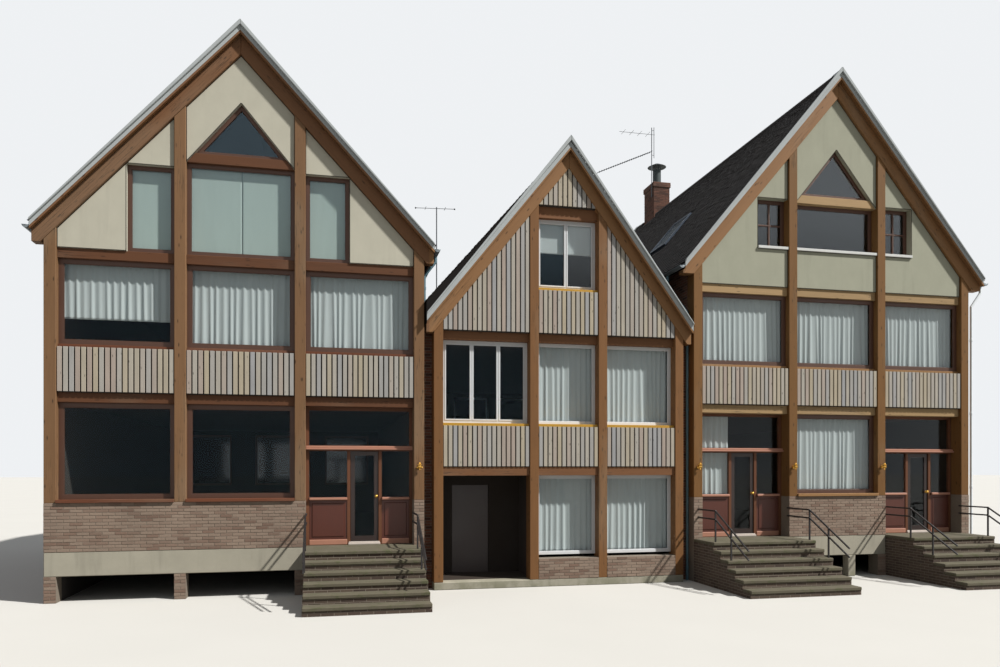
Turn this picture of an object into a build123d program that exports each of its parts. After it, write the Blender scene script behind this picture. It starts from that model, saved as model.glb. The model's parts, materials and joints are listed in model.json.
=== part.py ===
from build123d import *
import os
from dataclasses import dataclass

# A row of three gabled terraced houses with exposed timber posts.
# X runs along the street, Y goes from the street into the houses, Z is up.
# The origin is on the ground, in the middle of the row, in the plane of the post fronts.
# All sizes are in millimetres.

# Walls, floors and depths shared by the row
HOUSE_DEPTH = 12000        # front of the posts to the back of the rear wall
WALL = 215                 # one brick thick
FLOOR = 190                # joists, boards and ceiling
POST_DEPTH = 330           # posts, front to back
POST = 212                 # post width in the two tall houses
MIDDLE_POST = 196          # post width in the middle house

# Set-backs behind the post fronts
CLADDING_BACK = 48         # face of the panel behind the boards
RENDER_BACK = 60
BEAM_BACK = 85
WINDOW_BACK = 150
MIDDLE_BEAM_BACK = 120
MIDDLE_LINTEL_BACK = 45    # the middle house's lowest beams
MIDDLE_WINDOW_BACK = 240
DEEP_WINDOW_BACK = 220     # attic windows of the right house
PANEL = 120                # thickness of clad and rendered panels

# Roofs
ROOF = 90                  # boards, battens and tiles, square to the slope
RAFTER_DEPTH = 230
RAFTER_PROUD = 12          # rafter face in front of the post fronts
VERGE = 120                # tiles in front of the post fronts
VERGE_TRIM = 60            # height of the pale verge trim, square to the slope
TRIM = 12                  # sheet trim thickness
RIDGE_CAP = 150            # half width of the ridge capping
RIDGE_TILE = 35            # its thickness
JOINT = 2                  # open joint where two like pieces meet
SIDES = (-1, 1)
KICK = 300                 # rise of the tiles over the verge at the middle house's left eave
GUTTER = 62                # outer radius
GUTTER_WALL = 4
GUTTER_DROP = 70           # roof edge down to the gutter's rim
PIPE = 30                  # downpipe radius
PIPE_BACK = 262            # from the post fronts to a downpipe's centre
PIPE_CLEAR = 5             # pipe to wall
END_PIPE = (126, 60)       # the pipe at the row's right end: out from the wall, back from the posts
OUTLET_BACK = 660          # outlet of the right house's left gutter
# From a gutter's outlet down to the two bends of its swan neck
GAP_NECK = (250, 900)
END_NECK = (150, 500)
SHORT_NECK = (120, 420)
SHORT_PIPE_FOOT = 6060     # the left house's pipe empties over the middle roof

# Levels of the tall houses
GROUND_FLOOR = 960
BAND_BOTTOM = 500          # underside of the concrete band under the plinth
PLINTH_TOP = 1890
LOWER_BEAM_TOP = 3990
BEAM = 190
CLADDING_TOP = 4850
GABLE_BEAM_TOP = 6730
SILL = 60
SILL_PROUD = 45            # sill nose in front of the window frame

# Levels of the middle house
MIDDLE_FLOOR = 160
MIDDLE_PLINTH_TOP = 600
MIDDLE_LINTEL_TOP = 2570
MIDDLE_SILL_TOP = 3500
MIDDLE_GABLE_BEAM_TOP = 5440
MIDDLE_ATTIC_SILL_TOP = 6440
MIDDLE_ATTIC_BEAM_TOP = 8200
MIDDLE_BEAM = 180
MIDDLE_ATTIC_BEAM = 240

# Windows
FRAME = 62                 # depth of a window frame
BAR = 85                   # width of a window bar
ATTIC_BAR = 70
WHITE_BAR = 62
GLASS = 16
CURTAIN = 60
CURTAIN_GAP = 45           # from the back of the frame to the curtain
SHORT_CURTAIN_FOOT = 565   # above the cladding
BLIND = 25
MIDDLE_BLIND_FOOT = 800    # above the attic's sills
WHITE_SILL = 60
REAR_WINDOW = 1500
REAR_PIER = 100            # least brick between a rear window and its bay's posts
# Foot and head of the rear windows of each storey; the attic has one, in line with the middle bay
TALL_REAR = ((1950, 3650), (4910, 6440), (7000, 8400))
MIDDLE_REAR = ((700, 2250), (3500, 5100), (6440, 7800))

# Attic windows of the tall houses
LEFT_ATTIC_BEAM = 8540     # underside of the timber under the triangle window
RIGHT_ATTIC_BEAM = 8720
ATTIC_BEAM = 190
# From the underside of that timber to the triangle's tip
TRIANGLE_RISE = {"left": 1240, "right": 1310}
LEFT_SIDE_LIGHT = 870      # width
RIGHT_SIDE_LIGHT = 765
RIGHT_SIDE_LIGHT_TOP = 8770
RIGHT_SILL = 7600          # foot of the right house's attic windows

# Porch of the middle house
PORCH_DEPTH = 1400
PORCH_WALL = 100
MIDDLE_DOOR = (-2300, -1450)
MIDDLE_DOOR_HEIGHT = 2000

# Entrance bays
ENTRANCE_BACK = POST_DEPTH
ENTRANCE_FRAME = 70
ENTRANCE_LAP = 40          # frame behind each post
DOOR_OFFSET = 830          # from the left post of the bay to the door zone
MULLION = 65
DOOR_WIDTH = 580
DOOR_HEIGHT = 1940
DOOR_THICK = 45
DOOR_GAP = 8
HINGE = 8                  # from the leaf's inner face to the hinge pin
KNUCKLE_CLEAR = 1          # knuckle to the leaf's inner face
HINGE_HEIGHT = 60
HINGE_PLATE = 32
HINGE_SHEET = 3
HINGE_CLEAR = 0.3
HINGE_SHARES = (0.12, 0.5, 0.88)
STILE = 85
ROD_SIDES = 8              # flat sides of a slim round bar
KNOB = 56
KNOB_SIDES = 16
KNOB_THICK = 24
KNOB_NECK = 20
KNOB_REACH = 45            # centre of the knob in front of the leaf
KNOB_HEIGHT = 1000
SEAM = 0.3                 # open joint between the members of an entrance frame
TRANSOM = 115
TRANSOM_PROUD = 110
RAIL_LIFT = 25             # transom rail's underside above the door head
RAIL_TUCK = 10             # its top below the transom's top
LEDGE_TOP = 1945
LEDGE = 65
LEDGE_PROUD = 30
PANEL_THICK = 40
PANEL_SET = 15             # panel face behind the frame's face

# Steps up to the entrances
RISER = 160
TREAD = 300
LANDING_FRONT = -900
FLIGHT_LAP = 65            # a flight ends this far in front of the pier at its right
NOSING = 25
SLAB = 70
RAIL = 32                  # square handrail bar
RAIL_HEIGHT = 680
RAIL_DROP = 180            # from the handrail to the lower rail
RAIL_INSET = 100           # standard behind the edge of the landing
RAIL_RUN = 1350            # length of the sloping bars, in plan
RAIL_GRIP = 60             # bars fixed along a pier's side

# Right house roof pieces
STACK_X = (6560, 7110)
STACK_DEEP = 800
STACK_BACK = 850           # from its rear face to the back of the rear wall
STACK_Y = (HOUSE_DEPTH - STACK_BACK - STACK_DEEP, HOUSE_DEPTH - STACK_BACK)
STACK_TOP = 12950
STACK_CAP = 260
CORBEL = 30
FLUE = 150
FLUE_WALL = 8
FLUE_SIDES = 24
FLUE_HEIGHT = 700
FLUE_CAP = 340
FLUE_LEG = 110             # gap between the tube and its cap
SKYLIGHT = (1050, 1200)    # along the eave, and up the slope
SKYLIGHT_BAR = 70
SKYLIGHT_PROUD = 70
SKYLIGHT_X = 4340
SKYLIGHT_Y = 4150

# Aerials
MAST = 16
STACK_MAST = 2000          # above the stack
LONG_BOOM = (-2200, -300, -1060)
LONG_BOOM_DROP = 870       # below the mast's top
SHORT_BOOM = (120, -1250)
SHORT_BOOM_DROP = 250
MAST_HEIGHT = 3000         # above the middle roof
MIDDLE_MAST = (-2020, 6000)
ARM = (-600, 520)
ARM_DROP = (60, 20)

# Wall lanterns
LAMP_Z = 2570
LAMP_PLATE = 35
LAMP_PLATE_THICK = 12
LAMP_ARM = 9
LAMP_REACH = 95
LAMP_BODY = (30, 52, 80)   # foot radius, head radius, height of the lantern's body
LAMP_CAP = (64, 14, 50)

# Low openings and floors
PILLAR = 200
PILLAR_X = 7000
TALL_FLOORS = (GROUND_FLOOR, LOWER_BEAM_TOP, GABLE_BEAM_TOP)
MIDDLE_FLOORS = (MIDDLE_FLOOR, MIDDLE_LINTEL_TOP, MIDDLE_GABLE_BEAM_TOP)


@dataclass
class House:
    name: str
    posts: tuple            # centre lines of the posts
    post: float
    roof_edges: tuple       # left and right ends of the tiles
    apex: float             # top of the tiles at the ridge
    eave: float             # top of the tiles at both roof edges
    rafter: float           # gable rafter, square to the slope
    tails: tuple            # how much the left and right rafter tails lose to a level cut

    @property
    def ridge_x(self):
        """The ridge stands over the middle of the centre bay."""
        return (self.posts[1] + self.posts[2]) / 2

    @property
    def under_rafter(self):
        return ROOF + self.rafter

    @property
    def lean(self):
        """How much taller a vertical cut through the roof is than a square one."""
        run = self.roof_edges[1] - self.roof_edges[0]
        rise = 2 * (self.apex - self.eave)
        return (run ** 2 + rise ** 2) ** 0.5 / run

    def slope(self, side):
        """Rise over run of the left (-1) or right (1) slope."""
        edge = self.roof_edges[0] if side < 0 else self.roof_edges[1]
        return (self.apex - self.eave) / abs(edge - self.ridge_x)

    @property
    def left(self):
        return self.posts[0] - self.post / 2

    @property
    def right(self):
        return self.posts[-1] + self.post / 2

    def bay(self, i):
        return self.posts[i] + self.post / 2, self.posts[i + 1] - self.post / 2

    def roof_z(self, x, below=0):
        """Height of the roof plane at x, or of a plane lying below it square to the slope."""
        side = -1 if x < self.ridge_x else 1
        return self.apex - abs(x - self.ridge_x) * self.slope(side) - below * self.lean


LEFT = House("left", (-10163, -7864, -5602, -3210), POST, (-10473, -2903), 11237, 7150, 260, (160, 160))
MIDDLE = House("middle", (-2805, -737, 812, 2612), MIDDLE_POST, (-3063, 2892), 9555, 5700, 225,
               (190, 130))
RIGHT = House("right", (3068, 5459, 7807, 10149), POST, (2697, 10577), 11770, 7130, 260, (320, 300))
HOUSES = (LEFT, MIDDLE, RIGHT)
REAR = HOUSE_DEPTH - WALL


def block(x0, x1, y0, y1, z0, z1):
    box = Box(x1 - x0, y1 - y0, z1 - z0, align=(Align.MIN, Align.MIN, Align.MIN))
    return Pos(x0, y0, z0) * box


def prism(points, y0, y1):
    """An outline in X and Z, drawn out from y0 to y1."""
    outline = Polyline(*[(x, y0, z) for x, z in points], close=True)
    return extrude(make_face(outline), y1 - y0, dir=(0, 1, 0))


def rod(radius, height, sides=ROD_SIDES):
    """A slim upright bar, round within a hair, on the plane z = 0."""
    return extrude(RegularPolygon(radius, sides), height)


def tapered(foot, head, height, sides=ROD_SIDES):
    """An upright cup or cap that widens or narrows."""
    return loft([RegularPolygon(foot, sides), Pos(0, 0, height) * RegularPolygon(head, sides)])


def ring(x0, x1, z0, z1, bar, y0, y1):
    return block(x0, x1, y0, y1, z0, z1) - block(x0 + bar, x1 - bar, y0, y1, z0 + bar, z1 - bar)


def pane(x0, x1, z0, z1, bar, y0, y1):
    middle = (y0 + y1) / 2
    return block(x0 + bar, x1 - bar, middle - GLASS / 2, middle + GLASS / 2, z0 + bar, z1 - bar)


def save(name, shapes):
    solids = [solid for shape in shapes for solid in shape.solids()]
    export_step(Compound(label=name, children=solids), f"parts/{name}.step")


# Roof planes

def gable_band(house, side, below0, below1):
    """The corners of a strip of one gable slope between two depths below the tiles."""
    edge = house.roof_edges[0] if side < 0 else house.roof_edges[1]
    x0, x1 = sorted((edge, house.ridge_x + side * JOINT / 2))
    return [(x0, house.roof_z(x0, below0)), (x1, house.roof_z(x1, below0)),
            (x1, house.roof_z(x1, below1)), (x0, house.roof_z(x0, below1))]


def roof(house):
    y0 = -VERGE
    y1 = HOUSE_DEPTH + VERGE
    slabs = [prism(gable_band(house, side, 0, ROOF), y0, y1) for side in SIDES]
    if house is RIGHT:
        slabs = [slab - stack() - skylight_hole() for slab in slabs]
    if house is MIDDLE:
        slabs[0] += kick(y0, y1)
    return slabs


def kick(y0, y1):
    """The wedge that lifts the tiles of the middle house's left slope towards its eave."""
    eave = MIDDLE.roof_edges[0]
    top = MIDDLE.ridge_x - RIDGE_CAP
    return prism([(eave, MIDDLE.roof_z(eave)), (top, MIDDLE.roof_z(top)), (eave, MIDDLE.roof_z(eave) + KICK)],
                 y0, y1)


def rafter(house, side, y0, y1):
    """A gable rafter with a plumb end and the foot of its tail cut off level."""
    edge, cut = (house.roof_edges[0], house.tails[0]) if side < 0 else (house.roof_edges[1], house.tails[1])
    foot = house.roof_z(edge, house.under_rafter)
    corner = [(edge, foot), (edge - side * cut / house.slope(side), foot + cut), (edge, foot + cut)]
    return prism(gable_band(house, side, ROOF, house.under_rafter), y0, y1) - prism(corner, y0, y1)


def rafters(house):
    front = (-RAFTER_PROUD, RAFTER_DEPTH - RAFTER_PROUD)
    back = (HOUSE_DEPTH, HOUSE_DEPTH + VERGE - RAFTER_PROUD)
    return [rafter(house, side, y0, y1) for y0, y1 in (front, back) for side in SIDES]


def verge_trims(house):
    y = -VERGE
    back = HOUSE_DEPTH + VERGE
    return [prism(gable_band(house, side, -TRIM, VERGE_TRIM), y0, y1)
            for y0, y1 in ((y - TRIM, y), (back, back + TRIM)) for side in SIDES]


def ridge_cap(house):
    x = house.ridge_x
    wing = RIDGE_CAP
    top = RIDGE_TILE
    outline = [(x - wing, house.roof_z(x - wing)), (x, house.apex), (x + wing, house.roof_z(x + wing)),
               (x + wing, house.roof_z(x + wing, -top)), (x, house.roof_z(x, -top)),
               (x - wing, house.roof_z(x - wing, -top))]
    cap = prism(outline, -VERGE, HOUSE_DEPTH + VERGE)
    return cap - stack() if house is RIGHT else cap


# Timber frame

def above(house, below):
    """Everything above a plane that lies below the tiles, to cut walls and posts with."""
    low, high = house.roof_edges
    low -= WALL
    high += WALL
    top = house.apex + WALL
    middle = house.ridge_x
    outline = [(low, house.roof_z(low, below)), (middle, house.roof_z(middle, below)),
               (high, house.roof_z(high, below)), (high, top), (low, top)]
    return prism(outline, -POST_DEPTH, HOUSE_DEPTH + POST_DEPTH)


def posts(house, foot):
    cut = above(house, house.under_rafter)
    half = house.post / 2
    return [block(x - half, x + half, 0, POST_DEPTH, foot, house.apex) - cut for x in house.posts]


def row_of_beams(house, top, height, back):
    return [block(*house.bay(i), back, POST_DEPTH, top - height, top) for i in range(3)]


# Walls

def stack():
    """The shaft of the brick chimney stack, from the ground up."""
    return block(*STACK_X, *STACK_Y, 0, STACK_TOP)


def under_roof(house, solid):
    return solid - above(house, ROOF)


def side_walls(house):
    walls = []
    for x0 in (house.left, house.right - WALL):
        walls.append(under_roof(house, block(x0, x0 + WALL, POST_DEPTH, HOUSE_DEPTH, 0, house.apex)))
    return walls


def rear_openings(house):
    """Plain windows in line with the front bays, as x0, x1, z0, z1."""
    *storeys, attic = MIDDLE_REAR if house is MIDDLE else TALL_REAR
    holes = []
    for (z0, z1), i in [(storey, i) for storey in storeys for i in range(3)] + [(attic, 1)]:
        x0, x1 = house.bay(i)
        centre = (x0 + x1) / 2
        half = min(REAR_WINDOW, x1 - x0 - REAR_PIER) / 2
        holes.append((centre - half, centre + half, z0, z1))
    return holes


def rear_wall(house):
    wall = block(house.left + WALL, house.right - WALL, REAR, HOUSE_DEPTH, 0, house.apex)
    wall = under_roof(house, wall)
    for x0, x1, z0, z1 in rear_openings(house):
        wall -= block(x0, x1, REAR, HOUSE_DEPTH, z0, z1)
    return wall


def gap_wall(low, high, house):
    """Recessed brick that closes the gap between two houses, up to the lower roof."""
    return under_roof(house, block(low, high, POST_DEPTH, HOUSE_DEPTH, 0, house.apex))


def floors(house, tops):
    slabs = []
    for top in tops:
        slab = block(house.left + WALL, house.right - WALL, POST_DEPTH, REAR, top - FLOOR, top)
        if house is RIGHT:
            slab -= stack()
        slabs.append(slab)
    return slabs


# Windows

@dataclass
class Window:
    x0: float
    x1: float
    z0: float
    z1: float
    bar: float
    y: float

    def frame(self):
        return ring(self.x0, self.x1, self.z0, self.z1, self.bar, self.y, self.y + FRAME)

    def glass(self):
        return pane(self.x0, self.x1, self.z0, self.z1, self.bar, self.y, self.y + FRAME)


def tall_windows(house, ground_bays):
    made = []
    for i in ground_bays:
        made.append(Window(*house.bay(i), PLINTH_TOP + SILL, LOWER_BEAM_TOP - BEAM, BAR, WINDOW_BACK))
    for i in range(3):
        made.append(Window(*house.bay(i), CLADDING_TOP + SILL, GABLE_BEAM_TOP - BEAM, BAR, WINDOW_BACK))
    return made


def rear_windows(house):
    y = HOUSE_DEPTH - WALL / 2
    return [Window(*hole, WHITE_BAR, y) for hole in rear_openings(house)]


def triangle(house, beam_bottom, inset):
    """Outline of the triangle window above its timber, moved in by a bar's width."""
    x0, x1 = house.bay(1)
    centre = (x0 + x1) / 2
    half = (x1 - x0) / 2
    rise = TRIANGLE_RISE[house.name]
    z0 = beam_bottom + ATTIC_BEAM + inset
    lean = (half ** 2 + rise ** 2) ** 0.5 / half
    tip = beam_bottom + rise - inset * lean
    wide = half * (tip - z0) / rise
    return [(centre - wide, z0), (centre + wide, z0), (centre, tip)]


def attic_beam(house, beam_bottom, back):
    """The timber under the triangle window, with ends that follow the triangle."""
    x0, x1 = house.bay(1)
    (low0, _), (low1, _), _ = triangle(house, beam_bottom, 0)
    top = beam_bottom + ATTIC_BEAM
    return prism([(x0, beam_bottom), (x1, beam_bottom), (low1, top), (low0, top)], back, POST_DEPTH)


def triangle_frame(house, beam_bottom, y):
    outer = prism(triangle(house, beam_bottom, 0), y, y + FRAME)
    return outer - prism(triangle(house, beam_bottom, ATTIC_BAR), y, y + FRAME)


def triangle_glass(house, beam_bottom, y):
    middle = y + FRAME / 2
    return prism(triangle(house, beam_bottom, ATTIC_BAR), middle - GLASS / 2, middle + GLASS / 2)


def side_light(house, side, y):
    """An attic window beside a centre post; the left house's reach up to the rafter."""
    if house is LEFT:
        wide, z0 = LEFT_SIDE_LIGHT, GABLE_BEAM_TOP
    else:
        wide, z0 = RIGHT_SIDE_LIGHT, RIGHT_SILL
    near = house.bay(0)[1] if side < 0 else house.bay(2)[0]
    x0, x1 = sorted((near, near + side * wide))
    z1 = RIGHT_SIDE_LIGHT_TOP
    if house is LEFT:
        z1 = house.roof_z(near + side * wide, house.under_rafter) - JOINT
    return Window(x0, x1, z0, z1, ATTIC_BAR, y)


def attic_windows(house):
    """Side lights and the centre window of a tall house."""
    if house is LEFT:
        y = WINDOW_BACK
        centre = Window(*house.bay(1), GABLE_BEAM_TOP, LEFT_ATTIC_BEAM, ATTIC_BAR, y)
    else:
        y = DEEP_WINDOW_BACK
        centre = Window(*house.bay(1), RIGHT_SILL, RIGHT_ATTIC_BEAM, ATTIC_BAR, y)
    return [side_light(house, -1, y), centre, side_light(house, 1, y)]


def gable_render(house, beam_bottom):
    """Rendered panels between the posts of a gable, cut for its windows."""
    y0 = RENDER_BACK
    y1 = POST_DEPTH
    cut = above(house, house.under_rafter)
    panels = []
    for i in range(3):
        panel = block(*house.bay(i), y0, y1, GABLE_BEAM_TOP, house.apex) - cut
        for w in attic_windows(house):
            panel -= block(w.x0, w.x1, y0, y1, w.z0, w.z1)
        if i == 1:
            panel -= attic_beam(house, beam_bottom, y0)
            panel -= prism(triangle(house, beam_bottom, 0), y0, y1)
        panels.extend(panel.solids())
    return panels


def spandrels(house, z0, z1):
    return [block(*house.bay(i), CLADDING_BACK, CLADDING_BACK + PANEL, z0, z1) for i in range(3)]


def sill(x0, x1, top, back):
    return block(x0, x1, back - SILL_PROUD, POST_DEPTH, top - SILL, top)


# Middle house

def middle_windows():
    lintel = MIDDLE_LINTEL_TOP - MIDDLE_BEAM
    beam = MIDDLE_GABLE_BEAM_TOP - MIDDLE_BEAM
    made = [Window(*MIDDLE.bay(i), MIDDLE_PLINTH_TOP + SILL, lintel, WHITE_BAR, MIDDLE_WINDOW_BACK)
            for i in (1, 2)]
    made += [Window(*MIDDLE.bay(i), MIDDLE_SILL_TOP, beam, WHITE_BAR, MIDDLE_WINDOW_BACK) for i in range(3)]
    made.append(Window(*MIDDLE.bay(1), MIDDLE_ATTIC_SILL_TOP, MIDDLE_ATTIC_BEAM_TOP - MIDDLE_ATTIC_BEAM,
                       WHITE_BAR, MIDDLE_WINDOW_BACK))
    return made


def middle_cladding():
    panels = spandrels(MIDDLE, MIDDLE_LINTEL_TOP, MIDDLE_SILL_TOP - SILL)
    cut = above(MIDDLE, MIDDLE.under_rafter)
    y0 = CLADDING_BACK
    y1 = CLADDING_BACK + PANEL
    for i in (0, 2):
        panels.append(block(*MIDDLE.bay(i), y0, y1, MIDDLE_GABLE_BEAM_TOP, MIDDLE.apex) - cut)
    panels.append(block(*MIDDLE.bay(1), y0, y1, MIDDLE_GABLE_BEAM_TOP, MIDDLE_ATTIC_SILL_TOP - SILL))
    panels.append(block(*MIDDLE.bay(1), y0, y1, MIDDLE_ATTIC_BEAM_TOP, MIDDLE.apex) - cut)
    return panels


def middle_beams():
    beams = row_of_beams(MIDDLE, MIDDLE_LINTEL_TOP, MIDDLE_BEAM, MIDDLE_LINTEL_BACK)
    beams += row_of_beams(MIDDLE, MIDDLE_GABLE_BEAM_TOP, MIDDLE_BEAM, MIDDLE_BEAM_BACK)
    attic = block(*MIDDLE.bay(1), MIDDLE_BEAM_BACK, POST_DEPTH, MIDDLE_ATTIC_BEAM_TOP - MIDDLE_ATTIC_BEAM,
                  MIDDLE_ATTIC_BEAM_TOP)
    beams.append(attic - above(MIDDLE, MIDDLE.under_rafter))
    return beams


def porch():
    """Walls of the open entrance recess of the middle house."""
    x0 = MIDDLE.left + WALL
    x1 = MIDDLE.posts[1]
    top = MIDDLE_LINTEL_TOP - FLOOR
    y0 = PORCH_DEPTH
    y1 = PORCH_DEPTH + PORCH_WALL
    back = block(x0, x1 - JOINT, y0, y1, MIDDLE_FLOOR, top)
    back -= block(*MIDDLE_DOOR, y0, y1, MIDDLE_FLOOR, MIDDLE_FLOOR + MIDDLE_DOOR_HEIGHT)
    side = block(x1, x1 + PORCH_WALL, POST_DEPTH, y1, MIDDLE_FLOOR, top)
    return [side, back]


def middle_door():
    """Plain fixed leaf, flush with the inner face of the porch wall."""
    y1 = PORCH_DEPTH + PORCH_WALL
    return block(*MIDDLE_DOOR, y1 - DOOR_THICK, y1, MIDDLE_FLOOR, MIDDLE_FLOOR + MIDDLE_DOOR_HEIGHT)


# Entrances of the tall houses

@dataclass
class Entrance:
    name: str
    house: House
    index: int              # which bay
    lead: float = 0         # how far the flight starts before the bay

    @property
    def bay(self):
        return self.house.bay(self.index)

    @property
    def door_x(self):
        return self.bay[0] + DOOR_OFFSET + MULLION, self.bay[0] + DOOR_OFFSET + MULLION + DOOR_WIDTH


ENTRANCES = (Entrance("left", LEFT, 2), Entrance("right_a", RIGHT, 0, POST), Entrance("right_b", RIGHT, 2))


def entrance_frame(e):
    """Jambs, mullions and rails around a door, each a member of its own, and the transom rail."""
    x0 = max(e.bay[0] - ENTRANCE_LAP, e.house.left + WALL)
    x1 = min(e.bay[1] + ENTRANCE_LAP, e.house.right - WALL)
    y0 = ENTRANCE_BACK
    y1 = y0 + ENTRANCE_FRAME
    d0, d1 = e.door_x
    foot = GROUND_FLOOR
    head = foot + DOOR_HEIGHT
    top = LOWER_BEAM_TOP - FLOOR
    left = e.bay[0] + MULLION
    right = e.bay[1] - MULLION
    hinge_mullion = block(d0 - MULLION, d0, y0, y1, foot, head - SEAM)
    return [block(x0, left, y0, y1, foot, top),
            block(right, x1, y0, y1, foot, top),
            whole([hinge_mullion] + frame_hinges(e)),
            block(d1, d1 + MULLION, y0, y1, foot, head - SEAM),
            block(left + SEAM, right - SEAM, y0, y1, head, head + TRANSOM),
            block(left + SEAM, right - SEAM, y0, y1, top - MULLION, top),
            block(*e.bay, y0 - TRANSOM_PROUD, y0 - SEAM, head + RAIL_LIFT, head + TRANSOM - RAIL_TUCK)]


def entrance_panels(e):
    """The red-brown panels and their ledges under the side lights."""
    y0 = ENTRANCE_BACK
    d0, d1 = e.door_x
    parts = []
    for x0, x1 in ((e.bay[0] + MULLION, d0 - MULLION), (d1 + MULLION, e.bay[1] - MULLION)):
        panel = block(x0, x1, y0 + PANEL_SET, y0 + PANEL_SET + PANEL_THICK, GROUND_FLOOR, LEDGE_TOP - LEDGE)
        ledge = block(x0, x1, y0 - LEDGE_PROUD, y0 + ENTRANCE_FRAME, LEDGE_TOP - LEDGE, LEDGE_TOP)
        parts.append(panel + ledge)
    return parts


def entrance_glass(e):
    y = ENTRANCE_BACK + ENTRANCE_FRAME / 2 - GLASS / 2
    d0, d1 = e.door_x
    head = GROUND_FLOOR + DOOR_HEIGHT
    top = LOWER_BEAM_TOP - FLOOR - MULLION
    left = e.bay[0] + MULLION
    right = e.bay[1] - MULLION
    return [block(left, d0 - MULLION, y, y + GLASS, LEDGE_TOP, head),
            block(d1 + MULLION, right, y, y + GLASS, LEDGE_TOP, head),
            block(left, right, y, y + GLASS, head + TRANSOM, top)]


def door_y():
    """The leaf closes flush with the inner face of its frame, so that it swings inwards clear."""
    y1 = ENTRANCE_BACK + ENTRANCE_FRAME
    return y1 - DOOR_THICK, y1


def door(e):
    d0, d1 = e.door_x
    y0, y1 = door_y()
    g = DOOR_GAP
    leaf = block(d0 + g, d1 - g, y0, y1, GROUND_FLOOR + g, GROUND_FLOOR + DOOR_HEIGHT - g)
    leaf -= block(d0 + g + STILE, d1 - g - STILE, y0, y1, GROUND_FLOOR + g + 2 * STILE,
                  GROUND_FLOOR + DOOR_HEIGHT - g - STILE)
    return leaf


def door_glass(e):
    d0, d1 = e.door_x
    y0, y1 = door_y()
    y = (y0 + y1) / 2
    g = DOOR_GAP
    return block(d0 + g + STILE, d1 - g - STILE, y - GLASS / 2, y + GLASS / 2, GROUND_FLOOR + g + 2 * STILE,
                 GROUND_FLOOR + DOOR_HEIGHT - g - STILE)


def door_knob(e):
    d0, d1 = e.door_x
    y0, y1 = door_y()
    x = d1 - DOOR_GAP - STILE / 2
    z = GROUND_FLOOR + KNOB_HEIGHT
    neck = Pos(x, y0, z) * Rot(90, 0, 0) * rod(KNOB_NECK / 2, KNOB_REACH)
    return neck + Pos(x, y0 - KNOB_REACH, z) * Rot(90, 0, 0) * rod(KNOB / 2, KNOB_THICK, KNOB_SIDES)


# Steps

def flight_x(e):
    return e.bay[0] - e.lead, e.bay[1] + FLIGHT_LAP


RISERS = round(GROUND_FLOOR / RISER)


def prism_yz(points, x0, x1):
    """An outline in Y and Z, drawn out from x0 to x1."""
    outline = Polyline(*[(x0, y, z) for y, z in points], close=True)
    return extrude(make_face(outline), x1 - x0, dir=(1, 0, 0))


def steps(e):
    """The landing slab and the treads, each on the brick base."""
    x0, x1 = flight_x(e)
    landing = block(x0, x1, LANDING_FRONT - NOSING, 0, GROUND_FLOOR - SLAB, GROUND_FLOOR)
    slabs = [landing + block(*e.bay, 0, ENTRANCE_BACK, GROUND_FLOOR - SLAB, GROUND_FLOOR)]
    for i in range(1, RISERS):
        front = LANDING_FRONT - i * TREAD
        top = GROUND_FLOOR - i * RISER
        slabs.append(block(x0, x1, front - NOSING, front + TREAD, top - SLAB, top))
    return slabs


def stair_base(e):
    x0, x1 = flight_x(e)
    points = [(0, 0), (0, GROUND_FLOOR - SLAB), (LANDING_FRONT, GROUND_FLOOR - SLAB)]
    for i in range(1, RISERS):
        top = GROUND_FLOOR - i * RISER - SLAB
        front = LANDING_FRONT - i * TREAD
        points += [(front + TREAD, top), (front, top)]
    points.append((LANDING_FRONT - (RISERS - 1) * TREAD, 0))
    base = prism_yz(points, x0, x1)
    return base + block(*e.bay, 0, ENTRANCE_BACK, 0, GROUND_FLOOR - SLAB)


def sloped_rail(x, y0, y1, z0, z1):
    return prism_yz([(y0, z0), (y1, z1), (y1, z1 + RAIL), (y0, z0 + RAIL)], x - RAIL / 2, x + RAIL / 2)


def rail_lines(e):
    """Each handrail's place, and where its bars end: beside a pier, or on the front of one."""
    left = (e.bay[0] - e.lead / 2, 0) if e.lead else (e.bay[0] + RAIL / 2, RAIL_GRIP)
    return left, (e.bay[1] - RAIL / 2, RAIL_GRIP)


def handrail(x, inner):
    """Two bars along the landing and down the flight, on two standards."""
    half = RAIL / 2
    top = GROUND_FLOOR + RAIL_HEIGHT
    knee = LANDING_FRONT + RAIL_INSET
    foot = knee - RAIL_RUN
    fall = RAIL_RUN * RISER / TREAD
    low = top - RAIL_DROP
    bars = block(x - half, x + half, knee, inner, top - RAIL, top)
    bars += block(x - half, x + half, knee, inner, low - RAIL, low)
    bars += sloped_rail(x, knee, foot, top - RAIL, top - RAIL - fall)
    bars += sloped_rail(x, knee, foot, low - RAIL, low - RAIL - fall)
    bars += block(x - half, x + half, knee - half, knee + half, GROUND_FLOOR, top)
    third = LANDING_FRONT - 2 * TREAD + RAIL
    level = GROUND_FLOOR - 2 * RISER
    drop = (knee - third) * RISER / TREAD
    bars += block(x - half, x + half, third - half, third + half, level, top - drop)
    return bars


# Plinths and piers

def tall_plinth(house, first, last):
    """Brick from one post to another, its concrete band, and the piers that carry them."""
    x0 = house.posts[first] - house.post / 2
    x1 = house.posts[last] + house.post / 2
    brick = [block(x0, x1, 0, POST_DEPTH, GROUND_FLOOR, PLINTH_TOP)]
    for i in range(first, last + 1):
        brick.append(pier(house, i, BAND_BOTTOM))
    for i in range(4):
        if i < first or i > last:
            brick.append(pier(house, i, PLINTH_TOP))
    return brick


def pier(house, i, top):
    x = house.posts[i]
    half = house.post / 2
    return block(x - half, x + half, 0, POST_DEPTH, 0, top)


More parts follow.
